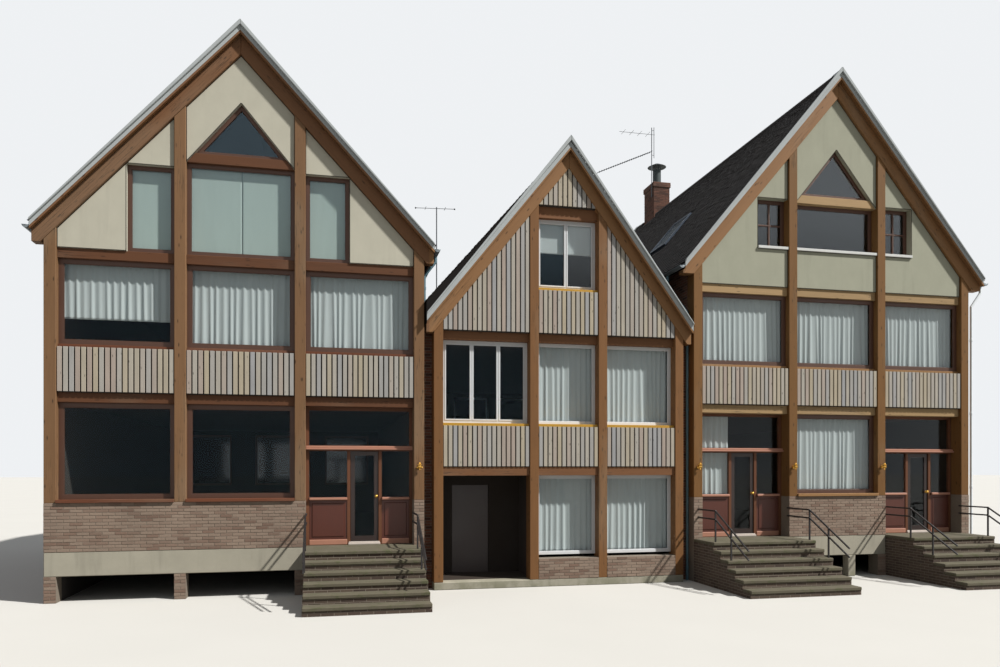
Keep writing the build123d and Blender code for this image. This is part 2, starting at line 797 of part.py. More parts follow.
def concrete_band(house, first, last):
    x0 = house.posts[first] - house.post / 2
    x1 = house.posts[last] + house.post / 2
    return block(x0, x1, 0, POST_DEPTH, BAND_BOTTOM, GROUND_FLOOR)


def pillar(x):
    half = PILLAR / 2
    return block(x - half, x + half, 0, PILLAR, 0, BAND_BOTTOM)


def middle_plinth():
    return [block(*MIDDLE.bay(i), 0, POST_DEPTH, MIDDLE_FLOOR, MIDDLE_PLINTH_TOP) for i in (1, 2)]


def middle_base():
    """The low strip that the middle house's posts and porch stand on."""
    return block(MIDDLE.left, MIDDLE.right, 0, POST_DEPTH, 0, MIDDLE_FLOOR)


# Rainwater goods

def gutter(house, side):
    """A half-round gutter with a hanging flange on the edge of the tiles."""
    edge = house.roof_edges[0] if side < 0 else house.roof_edges[1]
    z = house.eave
    x = edge + side * (GUTTER + GUTTER_WALL)
    depth = HOUSE_DEPTH + 2 * VERGE
    half = Circle(GUTTER) - Circle(GUTTER - GUTTER_WALL)
    half = half - Pos(0, GUTTER) * Rectangle(3 * GUTTER, 2 * GUTTER)
    bowl = extrude(Plane((x, -VERGE, z - GUTTER_DROP), x_dir=(1, 0, 0), z_dir=(0, -1, 0)) * half, -depth)
    near = sorted((edge, edge + side * 2 * GUTTER_WALL))
    flange = block(near[0], near[1], -VERGE, HOUSE_DEPTH + VERGE, z - GUTTER_DROP - GUTTER / 3, z - ROOF / 3)
    return bowl + flange


def pipe(points, radius):
    """A round pipe along straight runs that meet at mitred bends."""
    path = Polyline(*points)
    start = Plane(path @ 0, z_dir=path % 0)
    return sweep(start * Circle(radius), path, transition=Transition.RIGHT)


def gutter_outlet(house, side, y):
    edge = house.roof_edges[0] if side < 0 else house.roof_edges[1]
    return edge + side * (GUTTER + GUTTER_WALL), y, house.eave - GUTTER_DROP - GUTTER


def neck_pipe(outlet, neck, wall, foot):
    """A downpipe from a gutter's outlet, through a swan neck, down beside a wall."""
    x, y, z = outlet
    first, second = neck
    bends = [(x, y, z), (x, y, z - first), (*wall, z - second)]
    return pipe(bends + [(*wall, foot)], PIPE)


def downpipes():
    clear = PIPE + PIPE_CLEAR
    out, back = END_PIPE
    gap, end, short = (RIGHT.left - clear, PIPE_BACK), (RIGHT.right + out, back), (LEFT.right + clear, PIPE_BACK)
    return [neck_pipe(gutter_outlet(RIGHT, -1, OUTLET_BACK), GAP_NECK, gap, 0),
            neck_pipe(gutter_outlet(RIGHT, 1, back), END_NECK, end, 0),
            neck_pipe(gutter_outlet(LEFT, 1, PIPE_BACK), SHORT_NECK, short, SHORT_PIPE_FOOT)]


# Chimney, skylight, aerials and lamps

def chimney():
    x0, x1 = STACK_X
    y0, y1 = STACK_Y
    stack_body = stack()
    for i in range(2):
        out = CORBEL * (i + 1)
        z0 = STACK_TOP - STACK_CAP + i * STACK_CAP / 3
        stack_body += block(x0 - out, x1 + out, y0 - out, y1 + out, z0, STACK_TOP)
    return stack_body


def flue():
    """A tube with a flat conical cap that stands over its mouth on four legs."""
    middle = Pos(sum(STACK_X) / 2, sum(STACK_Y) / 2, STACK_TOP)
    height = FLUE_HEIGHT - FLUE_LEG
    tube = rod(FLUE, height, FLUE_SIDES) - rod(FLUE - FLUE_WALL, height, FLUE_SIDES)
    for turn in (0, 90, 180, 270):
        leg = Box(FLUE_WALL, 5 * FLUE_WALL, 2 * FLUE_LEG)
        tube += Rot(0, 0, turn) * Pos(FLUE - FLUE_WALL / 2, 0, height) * leg
    cap = tapered(FLUE_CAP, FLUE_CAP / 3, FLUE_CAP / 3, FLUE_SIDES)
    return middle * (tube + Pos(0, 0, FLUE_HEIGHT) * cap)


def skylight_plane():
    return Plane((SKYLIGHT_X, SKYLIGHT_Y, RIGHT.roof_z(SKYLIGHT_X)), x_dir=(0, 1, 0),
                 z_dir=(-RIGHT.slope(-1), 0, 1))


def skylight_hole():
    w, h = SKYLIGHT
    return skylight_plane() * Pos(0, 0, -ROOF / 2) * Box(w, h, 4 * ROOF)


def skylight_frame():
    w, h = SKYLIGHT
    bar = SKYLIGHT_BAR
    depth = ROOF + SKYLIGHT_PROUD
    frame = Box(w, h, depth) - Box(w - 2 * bar, h - 2 * bar, depth)
    return skylight_plane() * Pos(0, 0, SKYLIGHT_PROUD - depth / 2) * frame


def skylight_glass():
    w, h = SKYLIGHT
    bar = SKYLIGHT_BAR
    return skylight_plane() * Pos(0, 0, SKYLIGHT_PROUD - GLASS) * Box(w - 2 * bar, h - 2 * bar, GLASS)


def bar(start, end, radius):
    line = Vector(*end) - Vector(*start)
    plane = Plane(start, z_dir=line)
    return plane * rod(radius, line.length)


def aerials():
    x = STACK_X[0] - 2 * CORBEL - MAST
    y = STACK_Y[0] + 4 * MAST
    top = STACK_TOP + STACK_MAST
    stack_aerial = bar((x, y, STACK_TOP - 2 * STACK_CAP), (x, y, top), MAST)
    along, out, fall = LONG_BOOM
    boom = top - LONG_BOOM_DROP
    stack_aerial += bar((x, y, boom), (x + along, y + out, boom + fall), MAST / 2)
    boom = top - SHORT_BOOM_DROP
    stack_aerial += bar((x + SHORT_BOOM[0], y, boom), (x + SHORT_BOOM[1], y, boom), MAST / 2)
    mx, my = MIDDLE_MAST
    foot = MIDDLE.roof_z(mx)
    head = foot + MAST_HEIGHT
    roof_aerial = bar((mx, my, foot), (mx, my, head), MAST)
    roof_aerial += bar((mx + ARM[0], my, head - ARM_DROP[0]), (mx + ARM[1], my, head - ARM_DROP[1]), MAST / 2)
    return [stack_aerial, roof_aerial - roof(MIDDLE)[0]]


def lamp(x):
    """A small wall lantern on a post: wall plate, arm, tapered body and cap."""
    y = -LAMP_REACH
    plate = Pos(x, 0, LAMP_Z) * Rot(90, 0, 0) * rod(LAMP_PLATE, LAMP_PLATE_THICK)
    arm = bar((x, 0, LAMP_Z), (x, y, LAMP_Z), LAMP_ARM)
    height = LAMP_BODY[2]
    foot = LAMP_Z - height / 2
    return plate + arm + Pos(x, y, foot) * tapered(*LAMP_BODY) + Pos(x, y, foot + height) * tapered(*LAMP_CAP)


# Curtains and blinds

def curtain(w, foot, top, y):
    return block(w.x0 + w.bar / 2, w.x1 - w.bar / 2, y, y + CURTAIN, foot, top)


def tall_curtains(house):
    """Curtains hang from the beam over each first-floor window of a tall house."""
    top = GABLE_BEAM_TOP - BEAM
    made = []
    for i, w in enumerate(tall_windows(house, ())):
        foot = w.z0 + w.bar / 2
        if house is LEFT and i == 0:
            foot = CLADDING_TOP + SHORT_CURTAIN_FOOT
        made.append(curtain(w, foot, top, w.y + FRAME + CURTAIN_GAP))
    return made


def left_curtains():
    made = tall_curtains(LEFT)
    for w in attic_windows(LEFT):
        y = w.y + FRAME
        half = w.bar / 2
        made.append(block(w.x0 + half, w.x1 - half, y, y + BLIND, w.z0 + half, w.z1 - half))
    return made


def right_curtains():
    made = tall_curtains(RIGHT)
    ground = tall_windows(RIGHT, (1,))[0]
    made.append(curtain(ground, ground.z0 + ground.bar / 2, ground.z1, ground.y + FRAME + CURTAIN_GAP))
    e = ENTRANCES[1]
    d0, _ = e.door_x
    y = ENTRANCE_BACK + ENTRANCE_FRAME
    head = GROUND_FLOOR + DOOR_HEIGHT
    top = LOWER_BEAM_TOP - FLOOR
    left = e.bay[0] + MULLION / 2
    right = d0 - MULLION / 2
    made.append(block(left, right, y, y + CURTAIN, LEDGE_TOP - LEDGE / 2, head + TRANSOM / 3))
    made.append(block(left, right, y, y + CURTAIN, head + TRANSOM * 2 / 3, top))
    return made


def middle_curtains():
    made = []
    back = MIDDLE_WINDOW_BACK + FRAME + CURTAIN_GAP
    windows = middle_windows()
    for w in windows[:2]:
        made.append(curtain(w, w.z0 + w.bar / 2, MIDDLE_LINTEL_TOP - FLOOR, back))
    for w in windows[3:5]:
        made.append(curtain(w, w.z0 + w.bar / 2, MIDDLE_GABLE_BEAM_TOP - FLOOR, back))
    w = windows[5]
    y = w.y + FRAME
    foot = MIDDLE_ATTIC_SILL_TOP + MIDDLE_BLIND_FOOT
    made.append(block(w.x0 + w.bar / 2, w.x1 - w.bar / 2, y, y + BLIND, foot, w.z1 - w.bar / 2))
    return made


# Hinges of the entrance doors

def hinge_pin(e):
    """Where the pin stands: in the gap beside the leaf, just behind its inner face."""
    return e.door_x[0] + DOOR_GAP / 2, door_y()[1] + HINGE


def hinge_half(e, side, z0, z1):
    """Half a butt hinge: a plate on the frame (side -1) or on the leaf (side 1), and its knuckle."""
    x, y = hinge_pin(e)
    face = door_y()[1]
    knuckle = Pos(x, y, z0) * rod(HINGE - KNUCKLE_CLEAR, z1 - z0)
    ends = sorted((x, x + side * HINGE_PLATE))
    return knuckle + block(ends[0], ends[1], face, face + HINGE_SHEET, z0, z1)


def hinge_levels():
    foot = GROUND_FLOOR
    return [foot + DOOR_HEIGHT * share for share in HINGE_SHARES]


def frame_hinges(e):
    return [hinge_half(e, -1, z - HINGE_HEIGHT, z) for z in hinge_levels()]


def leaf_hinges(e):
    return [hinge_half(e, 1, z + HINGE_CLEAR, z + HINGE_HEIGHT) for z in hinge_levels()]


# Writing the nodes

def whole(shapes):
    """The single solid made by fusing touching shapes."""
    total = shapes[0]
    for shape in shapes[1:]:
        total += shape
    return total


def all_windows(house):
    if house is MIDDLE:
        front = middle_windows()
    else:
        front = tall_windows(house, (0, 1) if house is LEFT else (1,)) + attic_windows(house)
    return front + rear_windows(house)


def build():
    """Every node by name, as a list of solids."""
    nodes = {}
    nodes["side_walls"] = [w for house in HOUSES for w in side_walls(house)]
    gaps = ((LEFT.right, MIDDLE.left), (MIDDLE.right, RIGHT.left))
    nodes["gap_walls"] = [gap_wall(low, high, MIDDLE) for low, high in gaps]
    nodes["rear_walls"] = [rear_wall(house) for house in HOUSES]
    nodes["brick_plinths"] = tall_plinth(LEFT, 0, 2) + middle_plinth() + tall_plinth(RIGHT, 1, 2)
    nodes["concrete_bands"] = [concrete_band(LEFT, 0, 2), concrete_band(RIGHT, 1, 2), middle_base()]
    nodes["concrete_pillar"] = [pillar(PILLAR_X)]
    nodes["floors"] = floors(LEFT, TALL_FLOORS) + floors(MIDDLE, MIDDLE_FLOORS) + floors(RIGHT, TALL_FLOORS)
    for house in HOUSES:
        foot = MIDDLE_FLOOR if house is MIDDLE else PLINTH_TOP
        nodes[f"{house.name}_posts"] = posts(house, foot)
        nodes[f"{house.name}_roof"] = roof(house)
        windows = all_windows(house)
        frames = [w.frame() for w in windows]
        panes = [w.glass() for w in windows]
        if house is not MIDDLE:
            bottom = LEFT_ATTIC_BEAM if house is LEFT else RIGHT_ATTIC_BEAM
            frames.append(triangle_frame(house, bottom, WINDOW_BACK))
            panes.append(triangle_glass(house, bottom, WINDOW_BACK))
            beams = row_of_beams(house, LOWER_BEAM_TOP, BEAM, BEAM_BACK)
            beams += row_of_beams(house, GABLE_BEAM_TOP, BEAM, BEAM_BACK)
            beams.append(attic_beam(house, bottom, BEAM_BACK))
            nodes[f"{house.name}_beams"] = beams
            nodes[f"{house.name}_cladding"] = spandrels(house, LOWER_BEAM_TOP, CLADDING_TOP)
        nodes[f"{house.name}_window_frames"] = frames
        nodes[f"{house.name}_window_glass"] = panes
    nodes["right_window_glass"].append(skylight_glass())
    nodes["middle_beams"] = middle_beams()
    nodes["middle_cladding"] = middle_cladding()
    nodes["gable_rafters"] = [r for house in HOUSES for r in rafters(house)]
    nodes["gable_render"] = gable_render(LEFT, LEFT_ATTIC_BEAM) + gable_render(RIGHT, RIGHT_ATTIC_BEAM)
    nodes["window_sills"] = [sill(*h.bay(i), PLINTH_TOP + SILL, 0) for h, i in
                             ((LEFT, 0), (LEFT, 1), (RIGHT, 1))]
    nodes["window_sills"] += [sill(*h.bay(i), CLADDING_TOP + SILL, WINDOW_BACK) for h in (LEFT, RIGHT)
                              for i in range(3)]
    nodes["yellow_sills"] = [sill(*MIDDLE.bay(i), MIDDLE_SILL_TOP, MIDDLE_BEAM_BACK) for i in range(3)]
    nodes["yellow_sills"].append(sill(*MIDDLE.bay(1), MIDDLE_ATTIC_SILL_TOP, MIDDLE_BEAM_BACK))
    nodes["white_sills"] = [block(w.x0, w.x1, RENDER_BACK - SILL_PROUD, w.y, w.z0, w.z0 + WHITE_SILL)
                            for w in attic_windows(RIGHT)]
    nodes["roof_trims"] = [t for house in HOUSES for t in verge_trims(house)]
    nodes["roof_trims"] += [ridge_cap(house) for house in HOUSES]
    nodes["gutters"] = [gutter(house, side) for house in (LEFT, RIGHT) for side in (-1, 1)]
    nodes["downpipes"] = downpipes()
    nodes["left_curtains"] = left_curtains()
    nodes["middle_curtains"] = middle_curtains()
    nodes["right_curtains"] = right_curtains()
    nodes["entrance_frames"] = [m for e in ENTRANCES for m in entrance_frame(e)]
    nodes["entrance_panels"] = [p for e in ENTRANCES for p in entrance_panels(e)]
    nodes["entrance_glass"] = [g for e in ENTRANCES for g in entrance_glass(e)]
    for e in ENTRANCES:
        nodes[f"{e.name}_door"] = [whole([door(e), door_knob(e)] + leaf_hinges(e))]
        nodes[f"{e.name}_door_glass"] = [door_glass(e)]
    nodes["middle_porch"] = porch()
    nodes["middle_door"] = [middle_door()]
    nodes["stair_bases"] = [stair_base(e) for e in ENTRANCES]
    nodes["steps"] = [s for e in ENTRANCES for s in steps(e)]
    nodes["handrails"] = [handrail(*line) for e in ENTRANCES for line in rail_lines(e)]
    nodes["chimney_stack"] = [chimney()]
    nodes["chimney_flue"] = [flue()]
    nodes["skylight_frame"] = [skylight_frame()]
    nodes["aerials"] = aerials()
    nodes["lamps"] = [lamp(x) for x in (LEFT.posts[3], RIGHT.posts[0], RIGHT.posts[1], RIGHT.posts[2])]
    return nodes


if __name__ == "__main__":
    os.makedirs("parts", exist_ok=True)
    for name, solids in build().items():
        save(name, solids)
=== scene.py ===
import json
import math

import bpy
import numpy as np
from mathutils import Matrix, Vector

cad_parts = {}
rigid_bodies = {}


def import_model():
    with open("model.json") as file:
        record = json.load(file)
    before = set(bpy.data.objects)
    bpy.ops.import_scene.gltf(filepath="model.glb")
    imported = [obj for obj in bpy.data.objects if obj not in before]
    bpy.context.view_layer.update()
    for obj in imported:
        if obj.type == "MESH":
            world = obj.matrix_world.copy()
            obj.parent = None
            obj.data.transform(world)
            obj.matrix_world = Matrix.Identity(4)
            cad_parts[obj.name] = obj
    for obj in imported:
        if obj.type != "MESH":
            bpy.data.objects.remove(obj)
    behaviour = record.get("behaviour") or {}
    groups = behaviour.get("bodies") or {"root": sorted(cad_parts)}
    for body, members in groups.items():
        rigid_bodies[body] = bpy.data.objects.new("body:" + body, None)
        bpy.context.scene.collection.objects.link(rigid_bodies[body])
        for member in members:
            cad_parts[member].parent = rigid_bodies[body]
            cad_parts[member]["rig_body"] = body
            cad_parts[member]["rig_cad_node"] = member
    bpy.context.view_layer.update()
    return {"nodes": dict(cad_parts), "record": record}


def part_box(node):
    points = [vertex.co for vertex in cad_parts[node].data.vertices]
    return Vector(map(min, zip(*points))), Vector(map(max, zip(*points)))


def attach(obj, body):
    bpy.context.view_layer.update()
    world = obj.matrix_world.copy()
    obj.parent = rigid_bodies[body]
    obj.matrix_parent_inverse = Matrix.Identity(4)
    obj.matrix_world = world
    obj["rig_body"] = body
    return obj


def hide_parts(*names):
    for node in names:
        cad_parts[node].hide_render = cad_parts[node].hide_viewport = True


bl_info = {
    "name": "Gabled terrace",
    "version": (1, 0, 0),
    "blender": (4, 5, 0),
    "location": "3D View > Sidebar > Terrace",
    "description": "Dresses a row of timber-framed terraced houses",
    "category": "Object",
}

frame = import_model()
NODES = frame["nodes"]
SLOTS = {row["node"]: row["material_slot"] for row in frame["record"]["subparts"]}
BODIES = {node: body for body, nodes in frame["record"]["behaviour"]["bodies"].items() for node in nodes}
HOUSES = ("left", "middle", "right")
ENTRANCES = ("left", "right_a", "right_b")

# Sizes in metres; those of one operator stand above it
FRONT = 1.0                # what lies nearer the street than this belongs to the fronts
FRAME_FACE = 0.3305        # just behind the face of the entrances' frames
ARRIS = 0.003              # eased edge of joinery, boards and bars
NEAR = 0.001               # points this close are level with each other
SLANT = 0.01               # a side that rises or runs less than this isn't a slope
MIDDLE_HALF = 3            # the middle house lies within this of the row's middle
RIGHT_END = 9              # what lies right of this belongs to the row's right end
# painted shade: glass in the rear walls is an opaque dark pane, which keeps the rooms dark
REAR = 6                   # glass behind this is in the rear walls
WALL_IN = 0.1              # a room's shade reaches this far into its walls, so that their faces have it
ROOM_FRONT = 0.2           # the rooms' brick starts this far behind the post fronts


def linear(red, green, blue):
    """A colour given in steps of 255, as the linear numbers that colour properties hold."""
    def one(value):
        value /= 255
        return value / 12.92 if value <= 0.04045 else ((value + 0.055) / 1.055) ** 2.4
    return one(red), one(green), one(blue)


def length(name, description, default):
    return bpy.props.FloatProperty(name=name, description=description, default=default, min=0, unit="LENGTH")


def colour(name, description, *default):
    return bpy.props.FloatVectorProperty(name=name, description=description, default=linear(*default),
                                         subtype="COLOR", size=3, min=0, max=1)


class TimberSettings(bpy.types.PropertyGroup):
    edge: length("Edge", "Width of the eased edges of posts, beams and rafters", 0.007)
    post: colour("Posts", "Posts of the left house", 120, 90, 63)
    gold_post: colour("Golden posts", "Posts of the right house", 113, 80, 44)
    middle_post: colour("Middle posts", "Posts of the middle house", 120, 84, 51)
    rafter: colour("Rafters", "Gable rafters of the left house", 116, 82, 56)
    gold_rafter: colour("Golden rafters", "Gable rafters of the other two houses", 136, 100, 66)
    left_beam: colour("Left beams", "Beams of the left house", 90, 58, 38)
    middle_beam: colour("Middle beams", "Beams of the middle house", 114, 78, 51)
    right_beam: colour("Right beams", "Beams of the right house", 162, 135, 98)
    joinery: colour("Joinery", "Stained window frames", 76, 48, 34)
    entrance: colour("Entrances", "Frames around the entrance doors", 102, 66, 47)
    door: colour("Doors", "Entrance doors", 40, 26, 22)
    panel: colour("Panels", "Painted panels under the side lights", 80, 37, 24)
    ledge: colour("Ledges", "Painted ledges and rails of the entrances", 174, 124, 103)
    sill: colour("Sills", "Timber sills of the left house", 102, 61, 42)
    gold_sill: colour("Golden sills", "Timber sills of the right house", 148, 112, 74)


class CladdingSettings(bpy.types.PropertyGroup):
    pitch: length("Pitch", "From one board to the next", 0.106)
    # the gaps show the panel behind the boards, which is painted near-black as shade
    gap: length("Gap", "Dark gap between two boards", 0.027)
    thick: length("Thickness", "Thickness of a board", 0.03)
    silver: colour("Silver", "Weathered boards", 177, 172, 163)
    straw: colour("Straw", "Yellower boards", 181, 170, 149)
    rose: colour("Rose", "Pinker boards", 173, 160, 150)
    slate: colour("Slate", "Bluer boards", 162, 163, 165)


class TileSettings(bpy.types.PropertyGroup):
    width: length("Width", "Width of a plain tile", 0.165)
    gauge: length("Gauge", "Height of tile that shows in each course", 0.105)
    thick: length("Thickness", "Thickness of a tile", 0.014)
    lift: length("Lift", "How far the tail of a tile stands off the course below", 0.016)
    tile: colour("Tile", "Dark tile", 23, 18, 16)
    worn: colour("Worn tile", "Paler, weathered tile", 37, 29, 26)
    moss: colour("Moss", "Moss and lichen", 36, 37, 27)


class BrickSettings(bpy.types.PropertyGroup):
    long: length("Brick length", "Length of a brick", 0.215)
    high: length("Brick height", "Height of a brick", 0.05)
    joint: length("Joint", "Width of the mortar joint", 0.010)
    recess: length("Recess", "Depth of the mortar joint", 0.005)
    plinth: colour("Plinth brick", "Buff brick of the plinths", 151, 132, 117)
    plinth_dark: colour("Plinth brick, dark", "Darker bricks among them", 128, 104, 90)
    wall: colour("Wall brick", "Brick of the side and rear walls", 128, 84, 66)
    wall_dark: colour("Wall brick, dark", "Darker bricks among them", 84, 56, 48)
    stack: colour("Stack brick", "Brick of the chimney", 116, 80, 66)
    stack_dark: colour("Stack brick, dark", "Darker bricks among them", 78, 56, 48)
    # the stair brick is partly its own darker brick and partly painted shade, darkened for the shaded cheeks
    # and risers of the flights
    stair: colour("Stair brick", "Brick of the stair bases", 88, 74, 63)
    stair_dark: colour("Stair brick, dark", "Darker bricks among them", 64, 50, 43)
    mortar: colour("Mortar", "Mortar in the joints", 150, 138, 124)
    # painted shade: a dark colour on the brick faces inside the rooms, so that they read as shaded through
    # the glass
    plaster: colour("Inner faces", "Faces of the brick walls in the rooms", 58, 54, 50)


class ClothSettings(bpy.types.PropertyGroup):
    fold: length("Fold", "From one fold of a gathered curtain to the next", 0.13)
    depth: length("Fold depth", "Depth of the folds, front to back", 0.044)
    thick: length("Thickness", "Thickness of the cloth", 0.0016)
    net: colour("Curtain", "Gathered curtains", 198, 207, 208)
    blind: colour("Blind", "Flat blinds of the left house", 186, 203, 197)


class FinishSettings(bpy.types.PropertyGroup):
    cream_render: colour("Cream render", "Gable of the left house", 195, 192, 176)
    green_render: colour("Green render", "Gable of the right house", 167, 168, 150)
    concrete: colour("Concrete", "Bands and pillar under the walls", 175, 170, 154)
    slab: colour("Steps", "Slabs of the steps and landings", 98, 92, 76)
    # painted shade: a near-black colour that stands for the shade in the open recess and in the gaps between
    # the boards
    porch: colour("Recess", "Walls of the open recess, and what shows between boards", 46, 39, 34)
    # painted shade: the floor boards are darkened so that the rooms read as shaded through the glass
    room_floor: colour("Floors", "Floors of the rooms", 54, 45, 38)
    white_frame: colour("White frames", "Window frames of the middle house", 220, 223, 226)
    white_sill: colour("White sills", "Sills of the right house's attic", 216, 218, 216)
    yellow_sill: colour("Yellow sills", "Sills of the middle house", 190, 144, 44)
    threshold: colour("Thresholds", "Sills under the entrance doors", 200, 190, 182)
    trim: colour("Trims", "Sheet trims along the verges", 180, 186, 188)
    gutter: colour("Gutters", "Gutters and their brackets", 128, 136, 140)
    gap_pipe: colour("Grey pipes", "Downpipes between the houses", 92, 124, 136)
    end_pipe: colour("White pipe", "Downpipe at the right end", 236, 243, 248)
    skylight: colour("Skylight", "Frame of the skylight", 46, 60, 76)
    flue: colour("Flue", "Pipe and cowl on the chimney", 62, 70, 71)
    collar: colour("Collar", "Rusty collar of the flue", 120, 62, 40)
    aerial: colour("Aerials", "Masts and rods", 92, 96, 100)
    rail: colour("Handrails", "Painted handrails", 30, 26, 26)
    weathered: colour("Weathered timber", "Grey patches on stained timber", 150, 136, 116)
    algae: colour("Algae", "Foot of the concrete", 92, 96, 66)
    step_moss: colour("Step moss", "Moss on the steps", 74, 78, 48)
    brass: colour("Brass", "Wall lamps and knobs", 214, 168, 84)
    tarnish: colour("Tarnish", "Brown patches on the brass", 138, 100, 44)
    # painted shadow: colour of the strips that stand for the shaded gap round each rendered panel
    joint: colour("Panel joints", "Dark joints round the rendered panels", 44, 38, 32)


class StageSettings(bpy.types.PropertyGroup):
    sun: bpy.props.FloatProperty(name="Sun", description="Strength of the key light", default=5.0, min=0)
    sky: bpy.props.FloatProperty(name="Sky", description="Strength of the light from all sides",
                                 default=0.27, min=0)
    sun_turn: bpy.props.FloatProperty(name="Sun turn", description="Right of the fronts' normal",
                                      default=math.radians(57), subtype="ANGLE")
    sun_rise: bpy.props.FloatProperty(name="Sun height", description="Above the horizon",
                                      default=math.radians(47), subtype="ANGLE")
    eye: length("Eye height", "Height of the camera", 2.57)
    back: length("Camera distance", "In front of the post fronts", 16.1)
    across: bpy.props.FloatProperty(name="Camera place", description="Along the row from its middle",
                                    default=-5.063, unit="LENGTH")
    turn: bpy.props.FloatProperty(name="Camera turn", description="Right of the fronts' normal",
                                  default=math.radians(12.5), subtype="ANGLE")
    lens: bpy.props.FloatProperty(name="Lens", description="In millimetres, on a sensor 36 wide",
                                  default=28, min=1)
    shift: bpy.props.FloatProperty(name="Shift", description="The camera's upward shift", default=0.1335)


SETTINGS = {"timber": TimberSettings, "cladding": CladdingSettings, "tiles": TileSettings,
            "bricks": BrickSettings, "cloth": ClothSettings, "finishes": FinishSettings,
            "stage": StageSettings}


def settings(name):
    """One group of the scene's settings."""
    return getattr(bpy.context.scene, "terrace_" + name)


# Materials

class Field:
    """A number, colour or vector that varies over a surface; numbers take ordinary arithmetic."""

    def __init__(self, paint, socket):
        self.paint = paint
        self.socket = socket

    def maths(self, operation, *values):
        return self.paint.node("Math", {"operation": operation}, dict(enumerate(values)))

    def __add__(self, other):
        return self.maths("ADD", self, other)

    def __radd__(self, other):
        return self.maths("ADD", other, self)

    def __sub__(self, other):
        return self.maths("SUBTRACT", self, other)

    def __rsub__(self, other):
        return self.maths("SUBTRACT", other, self)

    def __mul__(self, other):
        return self.maths("MULTIPLY", self, other)

    def __rmul__(self, other):
        return self.maths("MULTIPLY", other, self)

    def __truediv__(self, other):
        return self.maths("DIVIDE", self, other)

    def __abs__(self):
        return self.maths("ABSOLUTE", self)

    def floor(self):
        return self.maths("FLOOR", self)

    def fract(self):
        return self.maths("FRACT", self)

    def over(self, limit):
        return self.maths("GREATER_THAN", self, limit)

    def most(self, other):
        return self.maths("MAXIMUM", self, other)

    def rise(self, low, high):
        """0 up to low, 1 from high on, and smooth between them."""
        return self.paint.node("MapRange", {"interpolation_type": "SMOOTHSTEP"}, {0: self, 1: low, 2: high})


class Paint:
    """A material, or the world, under construction."""

    def __init__(self, name, world=None):
        self.material = world or bpy.data.materials.new(name)
        self.material.use_nodes = True
        self.tree = self.material.node_tree
        self.tree.nodes.clear()

    def node(self, kind, node_settings=None, sockets=None, output=0):
        made = self.tree.nodes.new("ShaderNode" + kind)
        for key, value in (node_settings or {}).items():
            if key == "stops":
                self.set_stops(made.color_ramp, value)
            else:
                setattr(made, key, value)
        for key, value in (sockets or {}).items():
            self.feed(made.inputs[key], value)
        return Field(self, made.outputs[output]) if len(made.outputs) else None

    def feed(self, socket, value):
        if isinstance(value, Field):
            self.tree.links.new(value.socket, socket)
        elif socket.type == "RGBA":
            socket.default_value = (*value[:3], 1)
        else:
            socket.default_value = value

    @staticmethod
    def set_stops(ramp, stops):
        while len(ramp.elements) < len(stops):
            ramp.elements.new(1)
        for element, (place, tint) in zip(ramp.elements, stops):
            element.position = place
            element.color = (*tint[:3], 1)

    def place(self):
        return self.node("TexCoord", output="Object")

    def facing(self):
        """Which way the surface looks."""
        return self.node("TexCoord", output="Normal")

    def along(self):
        """Each timber's own coordinates, X along its length."""
        return self.node("Attribute", {"attribute_name": "grain"}, output="Vector")

    def tone(self):
        """One random number for each board, tile or brick."""
        return self.node("Attribute", {"attribute_name": "tone"}, output="Fac")

    def axes(self, vector):
        made = self.tree.nodes.new("ShaderNodeSeparateXYZ")
        self.feed(made.inputs[0], vector)
        return [Field(self, made.outputs[i]) for i in range(3)]

    def vector(self, x, y, z):
        return self.node("CombineXYZ", None, {0: x, 1: y, 2: z})

    def stretched(self, vector, *scale):
        return self.node("Mapping", None, {"Vector": vector, "Scale": scale})

    def noise(self, vector, scale, detail=3, rough=0.55):
        return self.node("TexNoise", None, {"Vector": vector, "Scale": scale, "Detail": detail,
                                            "Roughness": rough})

    def spots(self, vector, scale):
        return self.node("TexVoronoi", None, {"Vector": vector, "Scale": scale}, "Distance")

    def chance(self, *cell):
        """A random number for each cell of a grid."""
        return self.node("TexWhiteNoise", None, {"Vector": self.vector(*cell)}, "Value")

    def mix(self, share, first, second, way="MIX"):
        return self.node("Mix", {"data_type": "RGBA", "blend_type": way}, {0: share, 6: first, 7: second}, 2)

    def ramp(self, value, *stops):
        return self.node("ValToRGB", {"stops": stops}, {0: value})

    def shade(self, tint, brightness):
        """A colour made lighter or darker by a varying number."""
        grey = self.node("CombineColor", None, {0: brightness, 1: brightness, 2: brightness})
        return self.mix(1.0, tint, grey, "MULTIPLY")

    def surface(self, tint, rough, height=None, depth=0.001, metal=0.0, **sockets):
        inputs = {"Base Color": tint, "Roughness": rough, "Metallic": metal, **sockets}
        if height is not None:
            inputs["Normal"] = self.node("Bump", None, {"Height": height, "Distance": depth, "Strength": 1.0})
        return self.finish(self.node("BsdfPrincipled", None, inputs))

    def finish(self, shader):
        self.node("OutputMaterial", None, {"Surface": shader})
        return self.material


DULL = {"Specular IOR Level": 0.25}    # rough wood and clay mirror little


